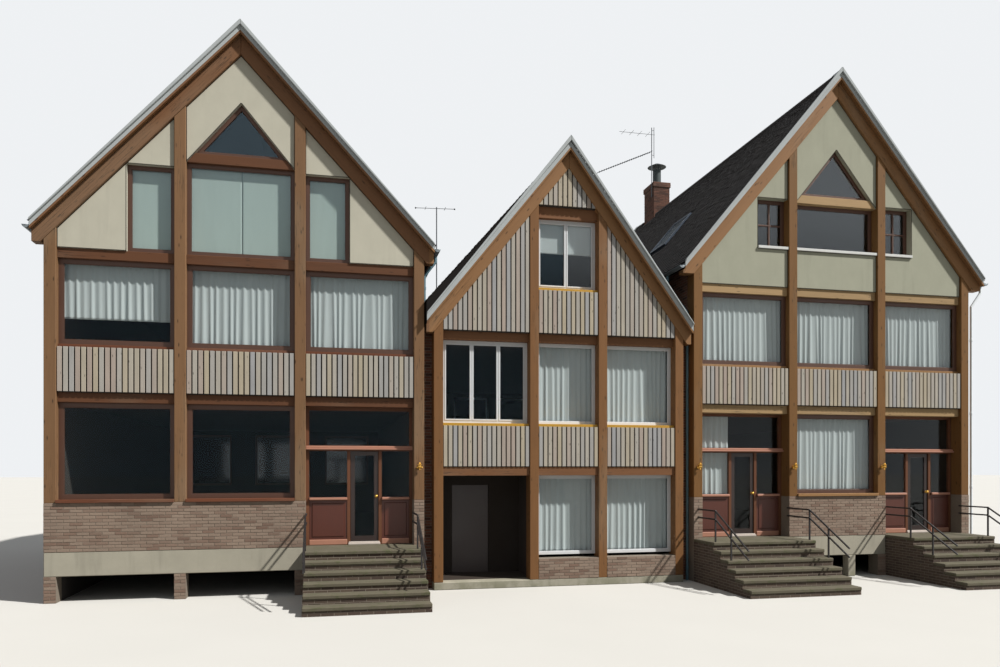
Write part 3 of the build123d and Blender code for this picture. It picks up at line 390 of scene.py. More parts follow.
def stained_timber(name, tint, knots=1.0, sheen=0.55, beyond=None, gold=None):
    """Sawn softwood with grain along the piece, knots, drying cracks and uneven stain.

    Past a place along the row the stain can be another one.
    """
    p = Paint(name)
    if gold:
        x, _, _ = p.axes(p.place())
        tint = p.mix(x.over(beyond), tint, gold)
    g = p.along()
    streaks = p.noise(p.stretched(g, 2.2, 60, 60), 1.0, 5, 0.65)
    broad = p.noise(p.stretched(g, 0.9, 7, 7), 1.0, 3)
    fade = p.noise(p.stretched(g, 0.35, 1.2, 1.2), 1.0, 2)
    knot = 1 - p.spots(p.stretched(g, 3.2, 11, 11), 1.0).rise(0.06, 0.2)
    knot = knot * knots * broad.rise(0.36, 0.5)
    crack = p.noise(p.stretched(g, 0.8, 34, 34), 1.0, 2, 0.4)
    crack = 1 - abs(crack - 0.5).rise(0.004, 0.018)
    crack = crack * fade.rise(0.5, 0.62)
    light = 0.58 + streaks * 0.46 + broad * 0.3 + fade * 0.16 + p.tone() * 0.14
    dark = (1 - knot * 0.68) * (1 - crack * 0.6)
    tint = p.shade(tint, light * dark)
    grey = p.mix(fade.rise(0.56, 0.72) * 0.22, tint, settings("finishes").weathered)
    height = streaks * 0.5 - crack * 1.2 - knot * 0.4
    return p.surface(grey, sheen + streaks * 0.16, height, 0.0012, **DULL)


def plain_timber(name, tint, rough=0.42):
    """Painted or stained joinery: finer grain, a little wear."""
    p = Paint(name)
    o = p.place()
    streaks = p.noise(p.stretched(o, 30, 30, 3), 1.0, 4)
    wear = p.noise(o, 2.4, 4, 0.6)
    return p.surface(p.shade(tint, 0.74 + streaks * 0.26 + wear * 0.26), rough + wear * 0.2,
                     streaks, 0.0006)


def cladding_board(name):
    """Silvered boards in several tones, with streaks and small knots."""
    s = settings("cladding")
    p = Paint(name)
    o = p.place()
    tone = p.tone()
    tint = p.ramp(tone, (0.0, s.silver), (0.28, s.slate), (0.42, s.silver), (0.6, s.straw), (0.78, s.silver),
                  (0.92, s.rose))
    streaks = p.noise(p.stretched(o, 90, 90, 2.2), 1.0, 4, 0.6)
    shift = p.vector(tone * 40, tone * 17, tone * 63)
    moved = p.node("VectorMath", {"operation": "ADD"}, {0: o, 1: shift})
    patch = p.noise(p.stretched(moved, 4, 4, 1.1), 1.0, 4, 0.6)
    knot = 1 - p.spots(p.stretched(moved, 12, 12, 4.2), 1.0).rise(0.06, 0.18)
    knot = knot * patch.rise(0.42, 0.56)
    light = (0.62 + streaks * 0.36 + patch * 0.38) * (1 - knot * 0.55)
    return p.surface(p.shade(tint, light), 0.8, streaks - knot * 0.5, 0.0008, **DULL)


def mortar_bed(name):
    """Plain mortar behind bricks that are modelled one by one."""
    p = Paint(name)
    o = p.place()
    grit = p.noise(o, 38, 5, 0.7)
    damp = p.noise(o, 0.9, 4, 0.6)
    light = (0.5 + grit * 0.4) * (0.72 + damp * 0.5)
    return p.surface(p.shade(settings("bricks").mortar, light), 0.92, grit, 0.002)


def masonry(name, brick, dark):
    """Bricks in half bond on any upright or level face, with uneven colour and raked joints; faces in the
    rooms are painted shade instead.
    """
    s = settings("bricks")
    p = Paint(name)
    o = p.place()
    x, y, z = p.axes(o)
    nx, _, nz = p.axes(p.facing())
    side = abs(nx).over(0.7)
    level = abs(nz).over(0.7)
    across = x * (1 - side) + y * side
    up = z * (1 - level) + y * level
    course_pitch = s.high + s.joint
    brick_pitch = s.long + s.joint
    course = up / course_pitch
    row = course.floor()
    step = across / brick_pitch + (row * 0.5).fract()
    column = step.floor()
    edge_u = abs(step.fract() - 0.5)
    edge_v = abs(course.fract() - 0.5)
    half_u = 0.5 - s.joint / brick_pitch / 2
    half_v = 0.5 - s.joint / course_pitch / 2
    inside = 1 - edge_u.rise(half_u - 0.012, half_u + 0.004)
    inside = inside * (1 - edge_v.rise(half_v - 0.05, half_v + 0.02))
    tone = p.chance(column, row, side * 7.0)
    grit = p.noise(o, 38, 5, 0.7)
    damp = p.noise(o, 0.9, 4, 0.6)
    face = p.ramp(tone, (0.0, dark), (0.22, brick), (0.62, brick), (0.84, dark), (1.0, brick))
    face = p.shade(face, 0.62 + grit * 0.46 + tone * 0.2)
    mortar = p.shade(s.mortar, 0.5 + grit * 0.4)
    tint = p.mix(inside, mortar, face)
    tint = p.shade(tint, 0.72 + damp * 0.5)
    # painted shade: faces inside the rooms take a flat dark colour and lose their bumps
    rooms = indoors(x, y) if name == "wall_brick" else 0.0
    height = (inside + grit * 0.22) * (1 - rooms)
    return p.surface(p.mix(rooms, tint, s.plaster), 0.88, height, s.recess)


def indoors(x, y):
    """1 on what faces the rooms, between the side walls and in front of the rear walls, where the rooms'
    painted shade goes.
    """
    rooms = 0.0
    faces = sorted(corner.x for box in boxes("side_walls") for corner in box)
    for low, high in zip(faces[1::4], faces[2::4]):
        rooms = rooms + x.over(low - WALL_IN) * (1 - x.over(high + WALL_IN))
    return rooms * (1 - y.over(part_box("floors")[1].y + NEAR)) * y.over(ROOM_FRONT)


def brick_face(name, brick, dark):
    """Modelled bricks: one tone each."""
    p = Paint(name)
    o = p.place()
    grit = p.noise(o, 42, 5, 0.7)
    damp = p.noise(o, 1.1, 4, 0.6)
    tone = p.tone()
    face = p.ramp(tone, (0.0, dark), (0.2, brick), (0.66, brick), (0.86, dark), (1.0, brick))
    face = p.shade(face, (0.66 + grit * 0.42 + tone * 0.14) * (0.72 + damp * 0.5))
    return p.surface(face, 0.9, grit, 0.0016)


def float_render(name):
    """Wood-floated render, creamier on the left house, streaked below its edges."""
    s = settings("finishes")
    p = Paint(name)
    o = p.place()
    x, _, _ = p.axes(o)
    fine = p.noise(o, 85, 4, 0.7)
    float_marks = p.noise(p.stretched(o, 3.2, 3.2, 2.2), 1.0, 5, 0.6)
    runs = p.noise(p.stretched(o, 5.5, 5.5, 0.5), 1.0, 3)
    tint = p.mix(x.over(0), s.cream_render, s.green_render)
    light = 0.84 + float_marks * 0.2 + fine * 0.08 - runs.rise(0.55, 0.75) * 0.07
    return p.surface(p.shade(tint, light), 0.92, fine + float_marks * 1.2, 0.0012)


def concrete(name):
    """Cast concrete with patches, runs and a green foot."""
    s = settings("finishes")
    p = Paint(name)
    o = p.place()
    _, _, z = p.axes(o)
    fine = p.noise(o, 60, 5, 0.7)
    patch = p.noise(o, 1.6, 5, 0.65)
    runs = p.noise(p.stretched(o, 6, 6, 0.6), 1.0, 3)
    light = 0.72 + patch * 0.34 + fine * 0.12 - runs.rise(0.5, 0.75) * 0.14
    tint = p.shade(s.concrete, light)
    green = (1 - z.rise(0.02, 0.35)) * patch.rise(0.4, 0.6)
    tint = p.mix(green * 0.5, tint, s.algae)
    return p.surface(tint, 0.9, fine + patch, 0.0015)


def step_stone(name):
    """Worn slabs with patches of moss."""
    s = settings("finishes")
    p = Paint(name)
    o = p.place()
    fine = p.noise(o, 70, 5, 0.7)
    patch = p.noise(o, 2.6, 5, 0.7)
    moss = p.noise(p.stretched(o, 5, 9, 9), 1.0, 5, 0.7)
    grown = moss.rise(0.5, 0.66)
    tint = p.shade(s.slab, 0.6 + patch * 0.5 + fine * 0.14)
    tint = p.mix(grown * 0.75, tint, s.step_moss)
    return p.surface(tint, 0.88, fine + grown * 0.8, 0.002)


def plain_tile(name):
    """Dark clay tiles, each its own tone, with grit and a little moss."""
    s = settings("tiles")
    p = Paint(name)
    o = p.place()
    grit = p.noise(o, 60, 4, 0.7)
    patch = p.noise(o, 0.8, 5, 0.65)
    tone = p.tone()
    tint = p.mix(tone.rise(0.45, 1.0) * 0.7, s.tile, s.worn)
    tint = p.shade(tint, 0.62 + grit * 0.4 + patch * 0.3)
    tint = p.mix(patch.rise(0.56, 0.72) * grit.rise(0.45, 0.6) * 0.45, tint, s.moss)
    return p.surface(tint, 0.78 + grit * 0.12, grit, 0.0012, **DULL)


def underlay(name):
    """Dark felt under the tiles, and timber on the undersides that show in front of the houses."""
    p = Paint(name)
    o = p.place()
    _, y, _ = p.axes(o)
    _, _, nz = p.axes(p.facing())
    grit = p.noise(o, 30, 4, 0.6)
    below = (nz * -1).over(0.3) * (1 - y.over(0.1))
    tint = p.mix(below, settings("tiles").tile, settings("timber").gold_rafter)
    return p.surface(p.shade(tint, 0.4 + below * 0.4 + grit * 0.3), 0.9, grit, 0.001, **DULL)


def painted(name, tint, rough=0.35, grime=0.25):
    """Brushed paint with faint grime."""
    p = Paint(name)
    o = p.place()
    brush = p.noise(p.stretched(o, 60, 60, 8), 1.0, 4)
    dirt = p.noise(o, 3.5, 5, 0.65)
    light = 1.0 - grime * 0.5 + dirt * grime - dirt.rise(0.6, 0.8) * grime
    return p.surface(p.shade(tint, light), rough + dirt * 0.2, brush, 0.0003)


def sheet_metal(name, tint, rough=0.42, metal=0.55):
    """Weathered zinc or lead-coated sheet with dull patches."""
    p = Paint(name)
    o = p.place()
    bloom = p.noise(o, 2.2, 6, 0.7)
    fine = p.noise(o, 30, 3)
    return p.surface(p.shade(tint, 0.72 + bloom * 0.36 + fine * 0.12), rough + bloom * 0.25, bloom, 0.0006,
                     metal)


def brass(name):
    """Brass with brown tarnish."""
    s = settings("finishes")
    p = Paint(name)
    tarnish = p.noise(p.place(), 26, 5, 0.7)
    tint = p.mix(tarnish.rise(0.45, 0.7), s.brass, s.tarnish)
    return p.surface(tint, 0.2 + tarnish * 0.25, tarnish, 0.0003, 1.0)


def window_glass(name):
    """Clear glass that mirrors a little, more at a slant, with a painted sky reflection that is stronger in
    the gables.
    """
    p = Paint(name)
    o = p.place()
    x, y, z = p.axes(o)
    # painted reflection: the mirror is tinted sky blue left of the row's middle and paler right of it
    sky = p.mix(x.over(0), linear(166, 190, 204), linear(236, 242, 246))
    mirror = p.node("BsdfGlossy", None, {"Color": sky, "Roughness": 0.02})
    clear = p.node("BsdfTransparent", None, {"Color": linear(252, 253, 253)})
    dark = p.node("BsdfPrincipled", None, {"Base Color": linear(20, 24, 26), "Roughness": 0.08})
    slant = p.node("LayerWeight", None, {"Blend": 0.5}, "Facing")
    # painted reflection: the mirror's share grows with height up the gables; the slant term is the glass's
    # own, and panes deeper than 2 m mirror a tenth as much
    share = (0.012 + z.rise(5.5, 9) * 0.05 + slant * slant * slant * 0.5) * (1 - y.over(2) * 0.9)
    pane = p.node("MixShader", None, {0: share, 1: clear, 2: mirror})
    # painted shade: behind REAR the panes are an opaque dark surface, which keeps the rooms dark
    return p.finish(p.node("MixShader", None, {0: y.over(REAR), 1: pane, 2: dark}))


def shadow_gap(name):
    """Painted shadow of the gap around a panel."""
    p = Paint(name)
    grit = p.noise(p.place(), 40, 3)
    return p.surface(p.shade(settings("finishes").joint, 0.7 + grit * 0.5), 0.95, grit, 0.001)


def drain_pipe(name):
    """Zinc grey-blue in the gap between two houses, painted white at the right end."""
    s = settings("finishes")
    p = Paint(name)
    o = p.place()
    x, _, _ = p.axes(o)
    bloom = p.noise(o, 4, 5, 0.7)
    tint = p.mix(x.over(RIGHT_END), s.gap_pipe, s.end_pipe)
    return p.surface(p.shade(tint, 0.85 + bloom * 0.3), 0.55 + bloom * 0.2, bloom, 0.0004)


def net_cloth(name, tint):
    """Thin cloth with a fine weave."""
    p = Paint(name)
    o = p.place()
    weave = p.noise(p.stretched(o, 400, 400, 400), 1.0, 2)
    soft = p.noise(p.stretched(o, 9, 9, 1.2), 1.0, 3)
    return p.surface(p.shade(tint, 0.86 + soft * 0.14 + weave * 0.06), 0.95, weave, 0.0004)


def interior(name):
    """Floor boards, seen only through the windows, darkened as painted shade of the rooms."""
    p = Paint(name)
    o = p.place()
    streaks = p.noise(p.stretched(o, 3, 40, 40), 1.0, 4)
    tint = p.shade(settings("finishes").room_floor, 0.7 + streaks * 0.5)
    return p.surface(tint, 0.7, streaks, 0.0006)


def painted_all():
    """Every material by its name in the record, or by its own name where a slot has several."""
    t = settings("timber")
    b = settings("bricks")
    c = settings("cloth")
    f = settings("finishes")
    recipes = {
        "post_timber": (stained_timber, t.post),
        "gold_post_timber": (stained_timber, t.gold_post),
        "middle_post_timber": (stained_timber, t.middle_post),
        "rafter_timber": (stained_timber, t.rafter, 1.0, 0.55, -MIDDLE_HALF, t.gold_rafter),
        "left_beam_timber": (stained_timber, t.left_beam, 0.7),
        "middle_beam_timber": (stained_timber, t.middle_beam, 0.7),
        "right_beam_timber": (stained_timber, t.right_beam, 0.8),
        "window_timber": (plain_timber, t.joinery),
        "entrance_timber": (stained_timber, t.entrance, 0.2, 0.4),
        "door_timber": (plain_timber, t.door, 0.36),
        "panel_paint": (plain_timber, t.panel, 0.36),
        "sill_timber": (stained_timber, t.sill, 0.3, 0.45, 0, t.gold_sill),
        "cladding_board": (cladding_board,),
        # painted shade: the nodes with this slot, the recess's walls and the panel behind the boards, are
        # near-black
        "porch_board": (plain_timber, f.porch, 0.8),
        "plinth_brick": (mortar_bed,),
        "wall_brick": (masonry, b.wall, b.wall_dark),
        # painted shade in part: the stair bases' darker brick
        "stair_brick": (masonry, b.stair, b.stair_dark),
        "chimney_brick": (mortar_bed,),
        "plinth_face": (brick_face, b.plinth, b.plinth_dark),
        "stack_face": (brick_face, b.stack, b.stack_dark),
        "render": (float_render,),
        "concrete": (concrete,),
        "step_stone": (step_stone,),
        "roof_tile": (plain_tile,),
        "roof_underlay": (underlay,),
        "trim_sheet": (sheet_metal, f.trim, 0.75, 0),
        "gutter_metal": (sheet_metal, f.gutter),
        "pipe_paint": (drain_pipe,),
        "shadow_gap": (shadow_gap,),
        "ledge_paint": (painted, t.ledge, 0.45, 0.3),
        "threshold_paint": (painted, f.threshold, 0.45, 0.3),
        "rusty_collar": (painted, f.collar, 0.8, 0.6),
        "skylight_sheet": (sheet_metal, f.skylight, 0.5, 0.2),
        "flue_metal": (sheet_metal, f.flue, 0.5, 0.5),
        "aerial_metal": (sheet_metal, f.aerial, 0.4, 0.6),
        "rail_paint": (painted, f.rail, 0.4),
        "white_frame": (painted, f.white_frame, 0.3, 0.14),
        "white_sill": (painted, f.white_sill, 0.35, 0.2),
        "yellow_sill": (painted, f.yellow_sill, 0.4, 0.3),
        "lamp_brass": (brass,),
        "glass": (window_glass,),
        "curtain": (net_cloth, c.net),
        "blind": (net_cloth, c.blind),
        "floor_board": (interior,),
    }
    return {name: make(name, *values) for name, (make, *values) in recipes.items()}


PAINTS = {}


# Modelling helpers

def clear_selection():
    if bpy.context.object and bpy.context.object.mode != "OBJECT":
        bpy.ops.object.mode_set(mode="OBJECT")
    bpy.ops.object.select_all(action="DESELECT")


def pick(obj):
    clear_selection()
    obj.select_set(True)
    bpy.context.view_layer.objects.active = obj
    return obj


def settle(obj):
    """Puts an object's place, turn and size into its mesh."""
    pick(obj)
    bpy.ops.object.transform_apply(location=True, rotation=True, scale=True)
    return obj


def block(low, high):
    """A box between two corners."""
    low = Vector(low)
    high = Vector(high)
    clear_selection()
    bpy.ops.mesh.primitive_cube_add(size=1, location=(low + high) / 2)
    obj = bpy.context.object
    obj.scale = high - low
    return settle(obj)


def modified(obj, kind, **values):
    """Adds a modifier with these settings and applies it."""
    pick(obj)
    modifier = obj.modifiers.new(kind.lower(), kind)
    for key, value in values.items():
        setattr(modifier, key, value)
    bpy.ops.object.modifier_apply(modifier=modifier.name)
    return obj


def eased(obj, width, segments=1):
    return modified(obj, "BEVEL", width=width, segments=segments, limit_method="ANGLE",
                    angle_limit=math.radians(30), use_clamp_overlap=True)


def repeated(obj, count, *step):
    return modified(obj, "ARRAY", count=count, use_relative_offset=False, use_constant_offset=True,
                    constant_offset_displace=step)


def joined(objects):
    """One object of several."""
    pick(objects[0])
    for obj in objects[1:]:
        obj.select_set(True)
    if len(objects) > 1:
        bpy.ops.object.join()
    return bpy.context.object


def trimmed(obj, point, normal):
    """Cuts away what lies beyond a plane, and closes the cut."""
    pick(obj)
    bpy.ops.object.mode_set(mode="EDIT")
    bpy.ops.mesh.select_all(action="SELECT")
    bpy.ops.mesh.bisect(plane_co=point, plane_no=Vector(normal).normalized(), use_fill=True, clear_outer=True)
    bpy.ops.object.mode_set(mode="OBJECT")
    return obj


def points(obj):
    co = np.empty(len(obj.data.vertices) * 3)
    obj.data.vertices.foreach_get("co", co)
    return co.reshape(-1, 3)


def move_points(obj, co):
    obj.data.vertices.foreach_set("co", co.ravel())
    obj.data.update()


def note(obj, name, values, kind="FLOAT"):
    """Stores a value for each vertex, which a material reads."""
    attribute = obj.data.attributes.new(name, kind, "POINT")
    attribute.data.foreach_set("value" if kind == "FLOAT" else "vector", np.asarray(values, float).ravel())


def give_tones(obj, count, seed):
    """One random number to each of the like items that a mesh is made of."""
    tones = np.random.default_rng(seed).random(count)
    note(obj, "tone", np.repeat(tones, len(obj.data.vertices) // count))
    return obj


def parts(obj):
    """The number of the connected part that each vertex belongs to."""
    parent = list(range(len(obj.data.vertices)))

    def root(i):
        while parent[i] != i:
            parent[i] = parent[parent[i]]
            i = parent[i]
        return i

    first = {}
    for i, place in enumerate(np.round(points(obj), 5)):
        parent[root(i)] = root(first.setdefault(tuple(place), i))
    for edge in obj.data.edges:
        parent[root(edge.vertices[0])] = root(edge.vertices[1])
    labels = {}
    return np.array([labels.setdefault(root(i), len(labels)) for i in range(len(parent))])


def solids(node):
    """The points of each solid of a CAD node."""
    obj = NODES[node]
    part = parts(obj)
    co = points(obj)
    return [co[part == i] for i in range(part.max() + 1)]


def boxes(node):
    return [(Vector(co.min(0)), Vector(co.max(0))) for co in solids(node)]


def give_grain(obj, seed):
    """Coordinates along and across each timber, and a tone for each, for the wood materials."""
    random = np.random.default_rng(seed)
    part = parts(obj)
    co = points(obj)
    grain = np.zeros_like(co)
    tone = np.zeros(len(co))
    for i in range(part.max() + 1):
        mine = part == i
        centred = co[mine] - co[mine].mean(0)
        _, _, axes = np.linalg.svd(centred, full_matrices=False)
        grain[mine] = centred @ axes.T + random.random(3) * 60
        tone[mine] = random.random()
    note(obj, "grain", grain, "FLOAT_VECTOR")
    note(obj, "tone", tone)
    return obj


def coat(obj, paint):
    obj.data.materials.clear()
    obj.data.materials.append(PAINTS[paint])
    return obj


def finished(obj, name, slot, body="root", stands_for=(), paint=None):
    """Names a piece, gives it its material and its body, and hides the nodes that it stands for."""
    obj.name = name
    obj.data.name = name
    coat(obj, paint or slot)
    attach(obj, body)
    if stands_for:
        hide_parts(*stands_for)
    return obj


def copy_of(node):
    """A free copy of a CAD node with its loose triangles merged into whole faces."""
    pick(NODES[node])
    bpy.ops.object.duplicate()
    obj = bpy.context.object
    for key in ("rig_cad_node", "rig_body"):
        del obj[key]
    obj.parent = None
    bpy.ops.object.mode_set(mode="EDIT")
    bpy.ops.mesh.select_all(action="SELECT")
    bpy.ops.mesh.remove_doubles(threshold=0.00001)
    bpy.ops.mesh.customdata_custom_splitnormals_clear()
    bpy.ops.mesh.dissolve_limited(angle_limit=math.radians(0.5))
    bpy.ops.object.mode_set(mode="OBJECT")
    return obj


def delete_parts(obj, doomed):
    """Deletes the connected parts whose corners pass a test."""
    part = parts(obj)
    co = points(obj)
    gone = [i for i in range(part.max() + 1) if doomed(co[part == i].min(0), co[part == i].max(0))]
    delete_points(obj, np.isin(part, gone))
    return obj


def delete_points(obj, mask):
    pick(obj)
    bpy.ops.object.mode_set(mode="EDIT")
    bpy.ops.mesh.select_mode(type="VERT")
    bpy.ops.mesh.select_all(action="DESELECT")
    bpy.ops.object.mode_set(mode="OBJECT")
    obj.data.vertices.foreach_set("select", mask)
    bpy.ops.object.mode_set(mode="EDIT")
    bpy.ops.mesh.select_linked()
    bpy.ops.mesh.delete(type="VERT")
    bpy.ops.object.mode_set(mode="OBJECT")
    return obj


def duplicate(obj, step=(0, 0, 0)):
    """A copy with its own mesh, moved by a step."""
    pick(obj)
    bpy.ops.object.duplicate()
    made = bpy.context.object
    made.location = step
    return settle(made)


def rod(start, end, radius, sides=10):
    """A round bar between two points."""
    start = Vector(start)
    line = Vector(end) - start
    clear_selection()
    bpy.ops.mesh.primitive_cylinder_add(vertices=sides, radius=radius, depth=line.length,
                                        location=start + line / 2,
                                        rotation=line.to_track_quat("Z", "Y").to_euler())
    return smooth(settle(bpy.context.object))


def ball(middle, radius, squash=1.0, segments=20):
    clear_selection()
    bpy.ops.mesh.primitive_uv_sphere_add(segments=segments, ring_count=segments // 2, radius=radius,
                                         location=middle, scale=(1, squash, 1))
    return smooth(settle(bpy.context.object))


def smooth(obj, angle=35):
    pick(obj)
    bpy.ops.object.shade_smooth_by_angle(angle=math.radians(angle))
    return obj


def ring(low, high, bar):
    """An upright frame of four square bars between two corners."""
    low = Vector(low)
    high = Vector(high)
    across = bar * Vector((1, 0, 0))
    up = bar * Vector((0, 0, 1))
    return joined([block(low, Vector((low.x + bar, high.y, high.z))),
                   block(Vector((high.x - bar, low.y, low.z)), high),
                   block(low + across, Vector((high.x, high.y, low.z + bar)) - across),
                   block(Vector((low.x, low.y, high.z - bar)) + across, high - across)])


def hull(flat_points):
    """The corners of the convex outline around points in a plane, anticlockwise."""
    ordered = sorted(set(map(tuple, np.round(flat_points, 5))))

    def half(sequence):
        chain = []
        for p in sequence:
            while len(chain) > 1 and turn(chain[-2], chain[-1], p) <= 1e-7:
                chain.pop()
            chain.append(p)
        return chain[:-1]

    def turn(a, b, c):
        return (b[0] - a[0]) * (c[1] - a[1]) - (b[1] - a[1]) * (c[0] - a[0])

    return half(ordered) + half(reversed(ordered))


def house_slopes(house):
    """For each slope of a roof, its lowest and highest points on the tiles, and the ends of the roof."""
    found = []
    for co in solids(house + "_roof"):
        low, high = co.min(0), co.max(0)
        ridge = co[co[:, 2] > high[2] - NEAR][0]
        side = -1 if abs(ridge[0] - high[0]) < 0.1 else 1
        eave_x = low[0] if side < 0 else high[0]
        eave = co[abs(co[:, 0] - eave_x) < NEAR]
        found.append((side, Vector((eave_x, 0, eave[:, 2].max())), Vector((ridge[0], 0, ridge[2])),
                      low[1], high[1]))
    return found


# Operators

class TERRACE_OT_plain_nodes(bpy.types.Operator):
    """Give the walls, floors and other plain nodes their materials"""
    bl_idname = "terrace.plain_nodes"
    bl_label = "Walls and floors"

    def execute(self, context):
        for node, obj in NODES.items():
            coat(obj, "roof_underlay" if node.endswith("_roof") else SLOTS[node])
        return {"FINISHED"}


class TERRACE_OT_timber(bpy.types.Operator):
    """Posts, beams, rafters and sills with eased edges and grain along each piece"""
    bl_idname = "terrace.timber"
    bl_label = "Timber frame"

    def execute(self, context):
        edge = settings("timber").edge
        timbers = {"left_posts": "post_timber", "right_posts": "post_timber",
                   "middle_posts": "middle_post_timber", "left_beams": "left_beam_timber",
                   "middle_beams": "middle_beam_timber", "right_beams": "right_beam_timber",
                   "gable_rafters": "rafter_timber", "window_sills": "sill_timber",
                   "entrance_frames": "entrance_timber"}
        for seed, (node, slot) in enumerate(timbers.items()):
            width = edge if "sill" not in node and "frame" not in node else edge / 2
            obj = copy_of(node)
            if node == "entrance_frames":
                delete_parts(obj, lambda low, high: high[1] < FRAME_FACE)
            obj = give_grain(eased(obj, width), seed)
            paint = "gold_post_timber" if node == "right_posts" else slot
            finished(obj, node + "_dressed", slot, "root", (node,), paint)
        return {"FINISHED"}


STONES = ("steps", "concrete_bands", "concrete_pillar")
STONE_ARRIS = 0.012        # their rounded edges


class TERRACE_OT_joinery(bpy.types.Operator):
    """Window frames, doors, panels and painted sills with eased edges"""
    bl_idname = "terrace.joinery"
    bl_label = "Joinery"

    def execute(self, context):
        nodes = [f"{h}_window_frames" for h in HOUSES] + [f"{e}_door" for e in ENTRANCES]
        nodes += ["entrance_panels", "yellow_sills", "white_sills", "middle_door", "handrails", *STONES,
                  "skylight_frame"]
        for node in nodes:
            obj = eased(copy_of(node), STONE_ARRIS if node in STONES else ARRIS)
            finished(obj, node + "_dressed", SLOTS[node], BODIES[node], (node,))
        return {"FINISHED"}


class TERRACE_OT_cladding(bpy.types.Operator):
    """Upright boards with open gaps on every clad panel"""
    bl_idname = "terrace.cladding"
    bl_label = "Board cladding"

    def execute(self, context):
        for house in HOUSES:
            node = house + "_cladding"
            panels = [self.boards(co, i) for i, co in enumerate(solids(node))]
            finished(joined(panels), house + "_boards", "cladding_board")
            # painted shade: the panel behind the boards takes the recess's near-black colour, which shows in
            # the gaps
            coat(NODES[node], "porch_board")
        return {"FINISHED"}

    def boards(self, co, seed):
        s = settings("cladding")
        (x0, y, z0), (x1, _, z1) = co.min(0), co.max(0)
        count = round((x1 - x0) / s.pitch)
        pitch = (x1 - x0) / count
        board = block((x0 + s.gap / 2, y - s.thick, z0 + s.gap / 2), (x0 + pitch - s.gap / 2, y, z1))
        obj = repeated(eased(board, ARRIS), count, pitch, 0, 0)
        give_tones(obj, count, seed + round(z0 * 1000))
        corners = hull(co[:, (0, 2)])
        for (ax, az), (bx, bz) in zip(corners, corners[1:] + corners[:1]):
            if abs(bx - ax) > SLANT and abs(bz - az) > SLANT:
                trimmed(obj, (ax, y, az), (bz - az, 0, ax - bx))
        return obj


TILE_JOINT = 0.001         # open joint at each side of a tile
TILE_LAP = 1.4             # length of a tile, in gauges
TILE_DRIFT = 0.0022        # how unevenly the tiles lie
EAVE_OUT = 0.02            # first course past the roof's edge
RIDGE_START = 0.16         # from the verge to the first ridge tile
RIDGE_LENGTH = 0.3         # about this long
RIDGE_JOINT = 0.006
RIDGE_RADIUS = 0.12
RIDGE_THICK = 0.016
RIDGE_AXIS = 0.105         # the round's middle, under the roof's ridge
RIDGE_FOOT = 0.12          # a ridge tile's edges, under it too


